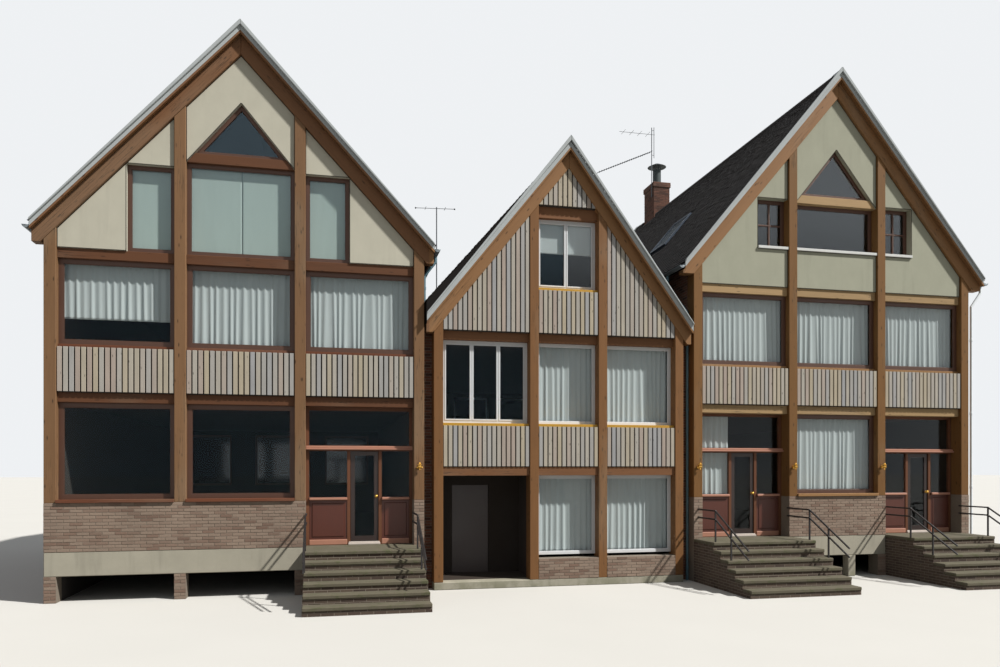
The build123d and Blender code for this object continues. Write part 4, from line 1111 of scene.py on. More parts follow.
class TERRACE_OT_tiles(bpy.types.Operator):
    """Plain tiles on every slope and ridge tiles along the tops"""
    bl_idname = "terrace.tiles"
    bl_label = "Roof tiles"

    def execute(self, context):
        for house in HOUSES:
            slopes = [self.slope(*slope, seed) for seed, slope in enumerate(house_slopes(house))]
            obj = joined(slopes)
            if house == "right":
                for node in ("skylight_frame", "chimney_stack"):
                    self.clear_round(obj, node)
            finished(obj, house + "_tiles", "roof_tile")
        ridges = [self.ridge(house) for house in HOUSES]
        finished(joined(ridges), "ridge_tiles", "roof_tile")
        return {"FINISHED"}

    def slope(self, side, eave, ridge, y0, y1, seed):
        """Courses of tiles laid in half bond from the eave to the ridge."""
        s = settings("tiles")
        up = (ridge - eave).normalized()
        out = Vector((up.z * side, 0, abs(up.x)))
        across = up.cross(out)
        rows = math.ceil((ridge - eave).length / s.gauge / 2)
        count = math.ceil((y1 - y0) / s.width) + 1
        tile = block((TILE_JOINT, 0, 0), (s.width - TILE_JOINT, s.gauge * TILE_LAP, s.thick))
        self.drop_head(tile)
        obj = repeated(tile, count, s.width, 0, 0)
        shifted = duplicate(obj, (-s.width / 2, s.gauge, 0))
        obj = repeated(joined([obj, shifted]), rows, 0, 2 * s.gauge, 0)
        co = points(obj).reshape(-1, 8, 3)
        random = np.random.default_rng(seed + 40)
        lift = random.normal(0, TILE_DRIFT, (len(co), 1))
        tails = co[:, :, 2] > s.lift * 0.9
        co[:, :, 2] += lift * tails
        co[:, :, 1] += random.normal(0, TILE_DRIFT, (len(co), 1))
        move_points(obj, co.reshape(-1, 3))
        give_tones(obj, len(co), seed + 50)
        start = y1 if across.y < 0 else y0
        base = Vector((eave.x, start, eave.z)) - up * EAVE_OUT
        turn = Matrix((across, up, out)).transposed().to_4x4()
        obj.data.transform(Matrix.Translation(base) @ turn)
        trimmed(obj, (0, y0, 0), (0, -1, 0))
        trimmed(obj, (0, y1, 0), (0, 1, 0))
        return trimmed(obj, tuple(ridge), (-side, 0, 0))

    def drop_head(self, tile):
        """The head of a tile lies lower than its tail."""
        s = settings("tiles")
        co = points(tile)
        tail = co[:, 1] < s.gauge / 2
        co[tail, 2] += s.lift
        move_points(tile, co)

    def clear_round(self, obj, node):
        """Leaves out the tiles that would lie under a piece that comes through the roof."""
        low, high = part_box(node)
        co = points(obj)
        inside = np.all((co[:, :2] > np.array(low[:2])) & (co[:, :2] < np.array(high[:2])), axis=1)
        delete_points(obj, inside & (co[:, 2] > low.z - 1))

    def ridge(self, house):
        """Half-round ridge tiles, bedded end to end."""
        slopes = house_slopes(house)
        x = sum(slope[2].x for slope in slopes) / len(slopes)
        top = slopes[0][2].z
        y0, y1 = slopes[0][3] + RIDGE_START, slopes[0][4] - RIDGE_START
        count = round((y1 - y0) / RIDGE_LENGTH)
        pitch = (y1 - y0) / count
        clear_selection()
        bpy.ops.mesh.primitive_cylinder_add(vertices=20, radius=RIDGE_RADIUS, depth=pitch - RIDGE_JOINT,
                                            end_fill_type="NOTHING", rotation=(math.pi / 2, 0, 0),
                                            location=(x, y0 + pitch / 2, top - RIDGE_AXIS))
        obj = settle(bpy.context.object)
        pick(obj)
        bpy.ops.object.mode_set(mode="EDIT")
        bpy.ops.mesh.select_all(action="SELECT")
        bpy.ops.mesh.bisect(plane_co=(x, 0, top - RIDGE_FOOT), plane_no=(0, 0, -1), clear_outer=True)
        bpy.ops.object.mode_set(mode="OBJECT")
        modified(obj, "SOLIDIFY", thickness=RIDGE_THICK, offset=1)
        repeated(obj, count, 0, pitch, 0)
        give_tones(obj, count, 70)
        if house == "right":
            self.clear_round(obj, "chimney_stack")
        return obj


TRIM_UP = {"left": 0.018, "middle": 0.042, "right": 0.026}   # over the tiles' edges
TRIM_DOWN = 0.012          # down to the batten
TRIM_DEEP = 1.0            # a part deeper than this, front to back, is the ridge's capping
FOLD = 0.002               # eased edge of a folded sheet
ROLL_HIGH = 0.04           # the roll along a trim's upper edge
ROLL_OUT = 0.045           # stands off the trim's face
ROLL_UP = 0.002            # and above it
ROLL_ARRIS = 0.01
BATTEN_HIGH = 0.055        # the timber batten under a trim
BATTEN_LAP = 0.01          # reaches up behind it
BATTEN_FACES = (-0.003, -0.022)   # its faces, from the trim's
CAP_OUT = 0.03             # a cap over the verge's top stands in front of the tiles
CAP_LENGTH = 0.3           # and runs back along the ridge
CAP_HALF = 0.095
CAP_HIGH = 0.05
CAP_UP = 0.04              # above the ridge
CAP_ARRIS = 0.006


class TERRACE_OT_trims(bpy.types.Operator):
    """Pale sheet trims, rolls and battens along the verges, and caps at their tops"""
    bl_idname = "terrace.trims"
    bl_label = "Verge trims"

    def execute(self, context):
        trims = delete_parts(copy_of("roof_trims"), lambda low, high: high[1] - low[1] > TRIM_DEEP)
        rolls = duplicate(trims)
        battens = duplicate(trims)
        for obj, reshaped in ((trims, self.trim), (rolls, self.roll), (battens, self.batten)):
            part = parts(obj)
            co = points(obj)
            for i in range(part.max() + 1):
                co[part == i] = reshaped(co[part == i])
            move_points(obj, co)
        sheets = joined([eased(trims, FOLD), eased(rolls, ROLL_ARRIS, 2)])
        finished(sheets, "verge_trims", "trim_sheet", "root", ("roof_trims",))
        finished(give_grain(eased(battens, FOLD), 90), "verge_battens", "rafter_timber")
        caps = [self.cap(house, end) for house in HOUSES for end in (0, 1)]
        finished(joined(caps), "apex_caps", "trim_sheet")
        return {"FINISHED"}

    def upper(self, co):
        """Which corners of a sloping bar are on its upper edge, and how high the bar is."""
        (x0, _, z0), (x1, _, z1) = co.min(0), co.max(0)
        end = co[co[:, 0] < x0 + SLANT][:, 2]
        rising = 1 if end.mean() < (z0 + z1) / 2 else -1
        middle = (z0 + z1) / 2 + (co[:, 0] - (x0 + x1) / 2) * rising * (z1 - z0) / (x1 - x0)
        return co[:, 2] > middle, np.ptp(end)

    def faced(self, co, front, back):
        """The corners with their front and back set so far in front of the trim's face."""
        outward = -1 if co[:, 1].mean() < FRONT else 1
        face = outward * (outward * co[:, 1]).max()
        outer = abs(co[:, 1] - face) < NEAR
        co[:, 1] = face + outward * np.where(outer, front, back)
        return co

    def trim(self, co):
        """A trim that covers the tiles' edges."""
        upper, _ = self.upper(co)
        co[:, 2] += np.where(upper, self.reach(co), -TRIM_DOWN)
        return co

    def reach(self, co):
        """How far a house's trims reach up."""
        place = co[:, 0].mean()
        return TRIM_UP[HOUSES[int(place > -MIDDLE_HALF) + int(place > MIDDLE_HALF)]]

    def roll(self, co):
        """A roll along a trim's upper edge, which shades what lies below it."""
        upper, high = self.upper(co)
        co[:, 2] += self.reach(co) + np.where(upper, ROLL_UP, high - ROLL_HIGH)
        return self.faced(co, ROLL_OUT, -NEAR)

    def batten(self, co):
        """A timber batten behind a trim's lower edge."""
        upper, high = self.upper(co)
        co[:, 2] -= TRIM_DOWN + np.where(upper, high - BATTEN_LAP, BATTEN_HIGH)
        return self.faced(co, *BATTEN_FACES)

    def cap(self, house, end):
        """A folded sheet over the top of the verge, where the two trims meet."""
        left, right = sorted(house_slopes(house), key=lambda slope: slope[0])
        edge = left[3 + end]
        y0, y1 = (edge - CAP_OUT, edge + CAP_LENGTH) if end == 0 else (edge - CAP_LENGTH, edge + CAP_OUT)
        x = (left[2].x + right[2].x) / 2
        wings = []
        for side, (_, eave, ridge, _, _) in ((-1, left), (1, right)):
            fall = abs((ridge.z - eave.z) / (ridge.x - eave.x))
            wing = block((min(0, side * CAP_HALF), y0, 0), (max(0, side * CAP_HALF), y1, CAP_HIGH))
            co = points(wing)
            co[:, 2] -= np.abs(co[:, 0]) * fall
            move_points(wing, co + (x, 0, ridge.z + CAP_UP))
            wings.append(wing)
        return eased(joined(wings), CAP_ARRIS)


GATHERED = 0.04            # a curtain's solid is deeper than this, a blind's is not
WIDE_BLIND = 1.5           # a blind wider than this is two
BLIND_GAP = 0.008          # between the two
FOLD_FACES = 9             # faces across each fold
CURTAIN_ROWS = 22
BLIND_FACES = (30, 24)     # across and down
BUCKLE = 0.002             # how far a blind strays from flat
HEADING = 0.004            # depth of the small pleats at a curtain's heading


class TERRACE_OT_cloth(bpy.types.Operator):
    """Gathered curtains and flat blinds behind the windows"""
    bl_idname = "terrace.cloth"
    bl_label = "Curtains and blinds"

    def execute(self, context):
        for house in HOUSES:
            node = house + "_curtains"
            for i, (low, high) in enumerate(self.widths(node)):
                gathered = high.y - low.y > GATHERED
                kind, make = ("curtain", self.curtain) if gathered else ("blind", self.blind)
                obj = make(low, high, i + 10 * HOUSES.index(house))
                modified(obj, "SOLIDIFY", thickness=settings("cloth").thick, offset=0)
                paint = "blind" if not gathered and house == "left" else "curtain"
                finished(obj, f"{house}_{kind}_{i}", "curtain", "root", (node,), paint)
        return {"FINISHED"}

    def widths(self, node):
        """Each curtain's box; a wide flat blind is two, side by side."""
        found = []
        for low, high in boxes(node):
            if high.y - low.y > GATHERED or high.x - low.x < WIDE_BLIND:
                found.append((low, high))
            else:
                middle = (low.x + high.x) / 2
                found += [(low, Vector((middle - BLIND_GAP / 2, high.y, high.z))),
                          (Vector((middle + BLIND_GAP / 2, low.y, low.z)), high)]
        return found

    def grid(self, low, high, wide, tall):
        """An upright sheet in the middle of a box."""
        clear_selection()
        middle = (low + high) / 2
        bpy.ops.mesh.primitive_grid_add(x_subdivisions=wide, y_subdivisions=tall, size=1, location=middle,
                                        rotation=(math.pi / 2, 0, 0))
        obj = bpy.context.object
        obj.scale = (high.x - low.x, high.z - low.z, 1)
        return settle(obj)

    def curtain(self, low, high, seed):
        """Folds that wander a little, tight at the heading and fuller towards the hem."""
        s = settings("cloth")
        random = np.random.default_rng(seed)
        span = high.x - low.x
        folds = max(3, round(span / s.fold))
        obj = self.grid(low, high, folds * FOLD_FACES, CURTAIN_ROWS)
        co = points(obj)
        u = (co[:, 0] - low.x) / span
        v = (co[:, 2] - low.z) / (high.z - low.z)
        drift = sum(a * np.sin(2 * math.pi * (k * u + p)) for a, k, p in
                    zip(random.normal(0, 0.035, 4), (1, 2, 3, 5), random.random(4)))
        lean = random.normal(0, 0.02) * (1 - v)
        phase = 2 * math.pi * folds * (u + drift * (0.35 + 0.65 * (1 - v)) / 4 + lean / 4)
        strength = sum(a * np.sin(2 * math.pi * (k * u + p)) for a, k, p in
                       zip(random.normal(0, 0.16, 4), (1, 2, 4, 7), random.random(4)))
        depth = s.depth / 2 * np.clip(0.8 + strength, 0.35, 1.15) * (0.62 + 0.38 * (1 - v))
        wave = np.sin(phase) + 0.22 * np.sin(2 * phase + 1.1)
        co[:, 1] += depth * wave / 1.2
        co[:, 0] += 0.12 * depth * np.cos(phase) * np.minimum(1, 12 * u * (1 - u))
        heading = np.clip((v - 0.955) / 0.03, 0, 1)
        co[:, 1] += heading * HEADING * np.sin(phase * 2.7)
        move_points(obj, co)
        return self.smoothed(obj)

    def blind(self, low, high, seed):
        """A flat blind with the slightest buckle."""
        random = np.random.default_rng(seed)
        obj = self.grid(low, high, *BLIND_FACES)
        co = points(obj)
        u = (co[:, 0] - low.x) / (high.x - low.x)
        v = (co[:, 2] - low.z) / (high.z - low.z)
        co[:, 1] += BUCKLE * np.sin(2 * math.pi * (u * 1.5 + random.random())) * (1 - v)
        move_points(obj, co)
        return self.smoothed(obj)

    def smoothed(self, obj):
        pick(obj)
        bpy.ops.object.shade_smooth()
        return obj


PANE_DEEP = 0.1            # glass deeper than this, front to back, is no front pane
BEAD = 0.016               # width and depth of a pane's bead
MULLION = 0.022            # width between two casements
SASH = 0.031               # width of a casement's members
SASH_OUT = 0.034           # a casement in front of the glass's face
SASH_IN = 0.002            # and behind it
BAR = 0.034                # width of a bar that divides an attic light
BAR_UPRIGHT = 0.023        # half the depth of upright bars
BAR_LEVEL = 0.02           # and of level ones
CASEMENT_FLOOR = 3         # the middle house's casements are above this, left of CASEMENT_RIGHT
CASEMENT_RIGHT = -0.7
MIDDLE_ATTIC = 6           # lights above this are in the middle house's attic
RIGHT_ATTIC = 7            # and in the right house's
ATTIC_LIGHT = 1.2          # where the lights narrower than this have bars


class TERRACE_OT_glazing(bpy.types.Operator):
    """Beads round the front panes, and the bars and sashes of the lights that have them"""
    bl_idname = "terrace.glazing"
    bl_label = "Glazing bars"

    def execute(self, context):
        for house in HOUSES:
            made = []
            for co in solids(house + "_window_glass"):
                low, high = Vector(co.min(0)), Vector(co.max(0))
                if low.y < FRONT and len(hull(co[:, (0, 2)])) == 4 and high.y - low.y < PANE_DEEP:
                    made += self.lights(house, low, high)
            slot = "white_frame" if house == "middle" else "window_timber"
            finished(eased(joined(made), ARRIS), house + "_glazing_bars", slot)
        return {"FINISHED"}

    def lights(self, house, low, high):
        """The bead of one pane, or the bars and sashes that divide it."""
        if house == "middle" and low.x < CASEMENT_RIGHT and low.z > CASEMENT_FLOOR:
            return self.casements(low, high, (1 / 3, 2 / 3))
        if house == "middle" and low.z > MIDDLE_ATTIC:
            return self.casements(low, high, (0.5,))
        made = [ring((low.x, low.y - BEAD, low.z), (high.x, low.y + NEAR, high.z), BEAD)]
        if house == "right" and low.z > RIGHT_ATTIC and high.x - low.x < ATTIC_LIGHT:
            made += self.bars(low, high, (0.5,), BAR)
            middle = (low.z + high.z) / 2
            made.append(block((low.x, low.y - BAR_LEVEL, middle - BAR / 2),
                              (high.x, high.y + BAR_LEVEL, middle + BAR / 2)))
        return made

    def bars(self, low, high, shares, width):
        """Upright bars at these shares of a pane's width."""
        half = width / 2
        places = [low.x + share * (high.x - low.x) for share in shares]
        return [block((x - half, low.y - BAR_UPRIGHT, low.z), (x + half, high.y + BAR_UPRIGHT, high.z))
                for x in places]

    def casements(self, low, high, shares):
        """Mullions, and a sash round each light between them."""
        edges = [low.x]
        for share in shares:
            x = low.x + share * (high.x - low.x)
            edges += [x - MULLION / 2, x + MULLION / 2]
        edges.append(high.x)
        sashes = [ring((a, low.y - SASH_OUT, low.z), (b, low.y + SASH_IN, high.z), SASH)
                  for a, b in zip(edges[::2], edges[1::2])]
        return self.bars(low, high, shares, MULLION) + sashes


# Bars across an entrance: how far past its sides, front and back, bottom and top, eased edge with its steps
LEDGE = (0, (-0.03, 0.01), (-0.058, -0.004), (0.014, 4))         # from a panel's front and its top
PANEL_FOOT = (0, (-0.026, 0.002), (0.002, 0.115), (0.012, 2))    # from its sunk face and its bottom
SILL = (0.04, (-0.05, 0.018), (-0.008, 0.03), (0.008, 2))        # from the frame's face and the door's foot
WEATHER_BAR = (0.03, (-0.02, 0.014), (0.03, 0.055), (0.006, 2))  # as the sill
PANEL_FACE = 0.045         # a panel's sunk face behind its front
FIELD_SIDE = 0.055         # a raised field keeps this far from a panel's sides
FIELD_FOOT = 0.17          # from its bottom
FIELD_TOP = 0.12           # and from its top
FIELD_OUT = 0.014          # in front of the sunk face
FIELD_IN = 0.01            # and behind it
FIELD_SLOPE = 0.011        # width of a field's sloping edges
RAIL_STEP = 0.032          # height of a transom rail's deep lower part
RAIL_BACK = 0.03           # its upper part stands this far back
RAIL_ARRIS = (0.01, 3)
KNOB_SIDE = 0.0425         # a knob's middle from the leaf's edge
KNOB_HIGH = 0.992          # and above its foot
KNOB_RADIUS = 0.036
KNOB_SQUASH = 0.82         # its depth for its width
KNOB_IN = 0.012            # its middle behind the door's foremost point
LEAF_IN = 0.069            # and the leaf's face behind it
ROSE_RADIUS = 0.03
ROSE_THICK = 0.006
ROSE_ARRIS = 0.002


class TERRACE_OT_entrances(bpy.types.Operator):
    """Transom rails, fielded panels, ledges, thresholds and door knobs"""
    bl_idname = "terrace.entrances"
    bl_label = "Entrances"

    def execute(self, context):
        rails = [box for box in boxes("entrance_frames") if box[1].y < FRAME_FACE]
        ledges = [self.rail(*box) for box in rails]
        fields = []
        for low, high in boxes("entrance_panels"):
            face = low.y + PANEL_FACE
            ledges.append(self.bar(low, high, low.y, high.z, LEDGE))
            ledges.append(self.bar(low, high, face, low.z, PANEL_FOOT))
            fields.append(self.field(low, high, face))
        finished(joined(ledges), "entrance_ledges", "entrance_timber", "root", (), "ledge_paint")
        finished(joined(fields), "entrance_fields", "panel_paint")
        thresholds = [self.threshold(*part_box(e + "_door")) for e in ENTRANCES]
        finished(joined(thresholds), "thresholds", "entrance_timber", "root", (), "threshold_paint")
        for e in ENTRANCES:
            low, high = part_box(e + "_door")
            finished(self.knob(low, high), e + "_door_knob", "lamp_brass", e + "_door_leaf")
        return {"FINISHED"}

    def bar(self, low, high, y, z, shape):
        """A bar between the sides of a box, its other faces given from y and z."""
        past, (front, back), (bottom, top), ease = shape
        return eased(block((low.x - past, y + front, z + bottom), (high.x + past, y + back, z + top)), *ease)

    def rail(self, low, high):
        """A stepped transom rail: a deep lower part, and an upper part that stands back."""
        middle = low.z + RAIL_STEP
        lower = block(low, (high.x, high.y, middle))
        upper = block((low.x + NEAR, low.y + RAIL_BACK, middle), (high.x - NEAR, high.y, high.z))
        return joined([eased(lower, *RAIL_ARRIS), eased(upper, *RAIL_ARRIS)])

    def field(self, low, high, face):
        """A raised field with sloping edges inside a panel."""
        obj = block((low.x + FIELD_SIDE, face - FIELD_OUT, low.z + FIELD_FOOT),
                    (high.x - FIELD_SIDE, face + FIELD_IN, high.z - FIELD_TOP))
        return eased(obj, FIELD_SLOPE)

    def threshold(self, low, high):
        """A sill with a weather bar under the door."""
        face = FRAME_FACE - NEAR
        return joined([self.bar(low, high, face, low.z, shape) for shape in (SILL, WEATHER_BAR)])

    def knob(self, low, high):
        """A flattened knob in front of a round rose."""
        x = high.x - KNOB_SIDE
        z = low.z + KNOB_HIGH
        leaf = low.y + LEAF_IN
        rose = rod((x, leaf, z), (x, leaf - ROSE_THICK, z), ROSE_RADIUS, 28)
        knob = ball((x, low.y + KNOB_IN, z), KNOB_RADIUS, KNOB_SQUASH, 28)
        return joined([eased(rose, ROSE_ARRIS), knob])


# painted shadow strips that stand for the shaded gap round each rendered panel
SHADOW_GAP_WIDE = 0.013
SHADOW_GAP_THICK = 0.004        # half of it in front of the panel
SHADOW_GAP_LEAST = 0.03         # an edge shorter than this has none


class TERRACE_OT_panel_shadow_gaps(bpy.types.Operator):
    """Painted shadow strips along every edge of the rendered gables"""
    bl_idname = "terrace.panel_joints"
    bl_label = "Panel joints"

    def execute(self, context):
        obj = copy_of("gable_render")
        face_y = points(obj)[:, 1].min()
        mesh = obj.data
        strips = []
        for face in mesh.polygons:
            if face.normal.y > -0.9 or abs(face.center.y - face_y) > NEAR:
                continue
            corners = [mesh.vertices[i].co.copy() for i in face.vertices]
            for a, b in zip(corners, corners[1:] + corners[:1]):
                strips.append(self.strip(a, b, face.normal))
        bpy.data.objects.remove(obj)
        joints = joined([strip for strip in strips if strip])
        finished(joints, "panel_joints", "render", "root", (), "shadow_gap")
        return {"FINISHED"}

    def strip(self, start, end, normal):
        """A slim dark strip of painted shadow just inside one edge of a panel."""
        line = end - start
        if line.length < SHADOW_GAP_LEAST:
            return None
        inward = normal.cross(line.normalized())
        obj = block((0, 0, 0), (line.length, SHADOW_GAP_WIDE, SHADOW_GAP_THICK))
        turn = Matrix((line.normalized(), inward, normal)).transposed().to_4x4()
        obj.data.transform(Matrix.Translation(start - normal * (SHADOW_GAP_THICK / 2)) @ turn)
        return obj


BRICK_ARRIS = 0.0025
BRICK_DRIFT = 0.0011       # how unevenly the bricks stand out
STACK_SHOWS = 2.4          # how far down from its corbels the shaft has bricks
ROUNDING = 0.002           # a level rounded to a millimetre lies this close to its points


class TERRACE_OT_brickwork(bpy.types.Operator):
    """Bricks laid one by one on the plinths, the piers and the stack"""
    bl_idname = "terrace.brickwork"
    bl_label = "Brick faces"

    def execute(self, context):
        walls = []
        for i, (low, high) in enumerate(boxes("brick_plinths")):
            walls.append(self.wall(low, Vector((1, 0, 0)), high.x - low.x, high.z - low.z, i))
        finished(joined(walls), "plinth_bricks", "plinth_brick", "root", (), "plinth_face")
        finished(joined(self.stack()), "stack_bricks", "chimney_brick", "root", (), "stack_face")
        return {"FINISHED"}

    def wall(self, corner, along, width, height, seed):
        """Half bond from a lower corner, on the side that faces right of the wall's run."""
        s = settings("bricks")
        rows = max(2, round(height / (s.high + s.joint)))
        pitch_z = height / rows
        pitch_x = s.long + s.joint
        count = math.ceil(width / pitch_x) + 1
        brick = block((s.joint / 2, -s.recess, s.joint / 2),
                      (pitch_x - s.joint / 2, s.recess, pitch_z - s.joint / 2))
        obj = repeated(eased(brick, BRICK_ARRIS), count, pitch_x, 0, 0)
        obj = joined([obj, duplicate(obj, (-pitch_x / 2, 0, pitch_z))])
        obj = repeated(obj, math.ceil(rows / 2), 0, 0, 2 * pitch_z)
        total = 2 * count * math.ceil(rows / 2)
        co = points(obj).reshape(total, -1, 3)
        random = np.random.default_rng(seed + 300)
        co[:, :, 1] += random.normal(0, BRICK_DRIFT, (total, 1))
        move_points(obj, co.reshape(-1, 3))
        give_tones(obj, total, seed + 400)
        trimmed(obj, (0, 0, 0), (-1, 0, 0))
        trimmed(obj, (width, 0, 0), (1, 0, 0))
        if rows % 2:
            trimmed(obj, (0, 0, height), (0, 0, 1))
        up = Vector((0, 0, 1))
        turn = Matrix((along, up.cross(along), up)).transposed().to_4x4()
        obj.data.transform(Matrix.Translation(corner) @ turn)
        return obj

    def stack(self):
        """The four sides of the shaft and of its two corbelled courses."""
        co = solids("chimney_stack")[0]
        levels = sorted(set(np.round(co[:, 2], 3)))
        shaft = co[co[:, 2] < levels[-3]]
        steps = [(shaft, shaft[:, 2].max() - STACK_SHOWS, levels[-3])]
        for low_z, high_z in ((levels[-3], levels[-2]), (levels[-2], levels[-1])):
            steps.append((co[np.abs(co[:, 2] - low_z) < ROUNDING], low_z, high_z))
        walls = []
        for i, (outline, z0, z1) in enumerate(steps):
            x0, y0 = outline[:, :2].min(0)
            x1, y1 = outline[:, :2].max(0)
            sides = (((x0, y0), (1, 0), x1 - x0), ((x1, y0), (0, 1), y1 - y0),
                     ((x1, y1), (-1, 0), x1 - x0), ((x0, y1), (0, -1), y1 - y0))
            for j, (corner, along, width) in enumerate(sides):
                corner = Vector((*corner, z0))
                walls.append(self.wall(corner, Vector((*along, 0)), width, z1 - z0, 40 + 4 * i + j))
        return walls


GUTTER_AXIS = 0.062        # the middle of a gutter's round above its lowest point
BRACKET_START = 0.35       # first bracket from the gutter's end
BRACKET_PITCH = 0.95
BRACKET = (0.0655, 0.03)   # radius and width
END_STOP = (0.064, 0.006)
STOP_IN = 0.004            # an end stop's middle from the gutter's end
STRAP_DOWN = 0.004         # brackets and stops end this far under the gutter's rim
STRAIGHT = 0.04            # points this near a pipe's axis are on its straight length
COLLAR_START = 0.25        # first collar above the pipe's foot
COLLAR_END = 0.1           # the last one at least this far from its straight length's top
COLLAR_PITCH = 1.8
COLLAR_RADIUS = 0.036
COLLAR_HIGH = 0.06
ARM_RADIUS = 0.008         # the arms that hold a pipe beside a post
ARM_IN = 0.01              # and reach into it


class TERRACE_OT_rainwater(bpy.types.Operator):
    """Gutter brackets and end stops, and collars on the downpipes"""
    bl_idname = "terrace.rainwater"
    bl_label = "Rainwater goods"

    def execute(self, context):
        brackets = []
        for low, high in boxes("gutters"):
            middle = (low.x + high.x) / 2
            rim = low.z + GUTTER_AXIS
            for y in np.arange(low.y + BRACKET_START, high.y, BRACKET_PITCH):
                brackets.append(self.strap(middle, y, rim, *BRACKET))
            for y in (low.y + STOP_IN, high.y - STOP_IN):
                brackets.append(self.strap(middle, y, rim, *END_STOP))
        finished(joined(brackets), "gutter_brackets", "gutter_metal")
        collars = []
        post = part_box("right_posts")[1].x
        for co in solids("downpipes"):
            foot = co[co[:, 2] < co[:, 2].min() + NEAR]
            x, y = (foot[:, :2].min(0) + foot[:, :2].max(0)) / 2
            straight = co[np.abs(co[:, 0] - x) < STRAIGHT]
            for z in np.arange(foot[0, 2] + COLLAR_START, straight[:, 2].max() - COLLAR_END, COLLAR_PITCH):
                collars.append(eased(rod((x, y, z), (x, y, z + COLLAR_HIGH), COLLAR_RADIUS, 24), ARRIS))
                if x > post:
                    middle = z + COLLAR_HIGH / 2
                    collars.append(rod((x, y, middle), (post - ARM_IN, y, middle), ARM_RADIUS))
        finished(joined(collars), "pipe_collars", "pipe_paint")
        return {"FINISHED"}

    def strap(self, x, y, rim, radius, width):
        """The lower half of a disc, across the gutter."""
        obj = rod((x, y - width / 2, rim), (x, y + width / 2, rim), radius, 20)
        return trimmed(obj, (x, y, rim - STRAP_DOWN), (0, 0, 1))


FLUE_COLLAR_HIGH = 0.11
FLUE_COLLAR_RADIUS = 0.165
FLUE_COLLAR_ARRIS = (0.012, 2)
TIP = 0.02                 # points this near a boom's end are on it
BOOM_DOWN = 0.87           # the long boom under the mast's top
SHORT_DOWN = 0.25          # and the short one
SHORT_LONG = 1.25          # the short boom's length
LONG_RODS = (0.1, 0.12, 0.011)   # from one rod to the next, their reach to each side and their radius
SHORT_RODS = (0.3, 0.2)
ARM_RODS = (0.4, 0.14)     # on the other aerial's arm
ARM_KNOB = 0.024           # radius of the knobs at its ends
POLE_OUT = 0.09            # a slimmer pole beside the mast
POLE_ENDS = (-1.1, 0.02)   # its ends from the mast's top
POLE_TIES = (-1.0, -0.1)   # and the ties that hold it
POLE_RADIUS = 0.011
TIE_RADIUS = 0.008


class TERRACE_OT_roof_pieces(bpy.types.Operator):
    """The flue's rusty collar and the aerials' elements"""
    bl_idname = "terrace.roof_pieces"
    bl_label = "Roof pieces"

    def execute(self, context):
        low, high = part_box("chimney_flue")
        middle = (low + high) / 2
        collar = rod((middle.x, middle.y, low.z), (middle.x, middle.y, low.z + FLUE_COLLAR_HIGH),
                     FLUE_COLLAR_RADIUS, 36)
        finished(eased(collar, *FLUE_COLLAR_ARRIS), "flue_collar", "flue_metal", "root", (), "rusty_collar")
        finished(joined(self.elements()), "aerial_elements", "aerial_metal")
        return {"FINISHED"}

    def elements(self):
        """Short rods across each boom, and the knobs at the ends of the arm."""
        made = []
        for co in solids("aerials"):
            top = co[:, 2].max()
            mast = co[co[:, 2] > top - NEAR].mean(0)
            left = co[co[:, 0] < co[:, 0].min() + TIP].mean(0)
            right = co[co[:, 0] > co[:, 0].max() - TIP].mean(0)
            if np.ptp(co[:, 1]) > 0.1:
                x, y = mast[:2]
                made += self.comb(mast + (0, 0, -BOOM_DOWN), left, *LONG_RODS)
                short = Vector((x - SHORT_LONG, y, top - SHORT_DOWN))
                made += self.comb(mast + (0, 0, -SHORT_DOWN), short, *SHORT_RODS)
                made.append(rod(*((x + POLE_OUT, y, top + end) for end in POLE_ENDS), POLE_RADIUS))
                for tie in POLE_TIES:
                    made.append(rod((x, y, top + tie), (x + POLE_OUT, y, top + tie), TIE_RADIUS))
            else:
                made += self.comb(Vector(left), Vector(right), *ARM_RODS)
                made += [ball(tuple(end), ARM_KNOB, 1, 12) for end in (left, right)]
        return made

    def comb(self, start, end, pitch, reach, radius=0.006):
        """Level rods across a boom, reaching as far to each side."""
        start = Vector(start)
        line = Vector(end) - start
        count = int(line.length / pitch)
        side = line.cross(Vector((0, 0, 1))).normalized() * reach
        places = [start + line * ((i + 0.5) / count) for i in range(count)]
        return [rod(place - side, place + side, radius, 6) for place in places]


LAMP_OUT = 0.095           # a lantern's middle in front of the wall
LAMP_HIGH = 0.04           # above the CAD piece's foot
CURL = (0.045, 0.02, 0.01)   # the ends of a lamp's curled arm: aside, back and down from its middle
LAMP_ROSE = 0.038          # radii of a lamp's pieces, from the wall outwards
LAMP_BOSS = 0.022
LAMP_ARM = 0.008
LAMP_NECK = 0.012
LAMP_DROP = 0.017
LAMP_GLOBE = 0.045
LAMP_CAP = 0.058
LAMP_FINIAL = 0.022
CURL_KNOB = 0.021
CURL_ROD = 0.006


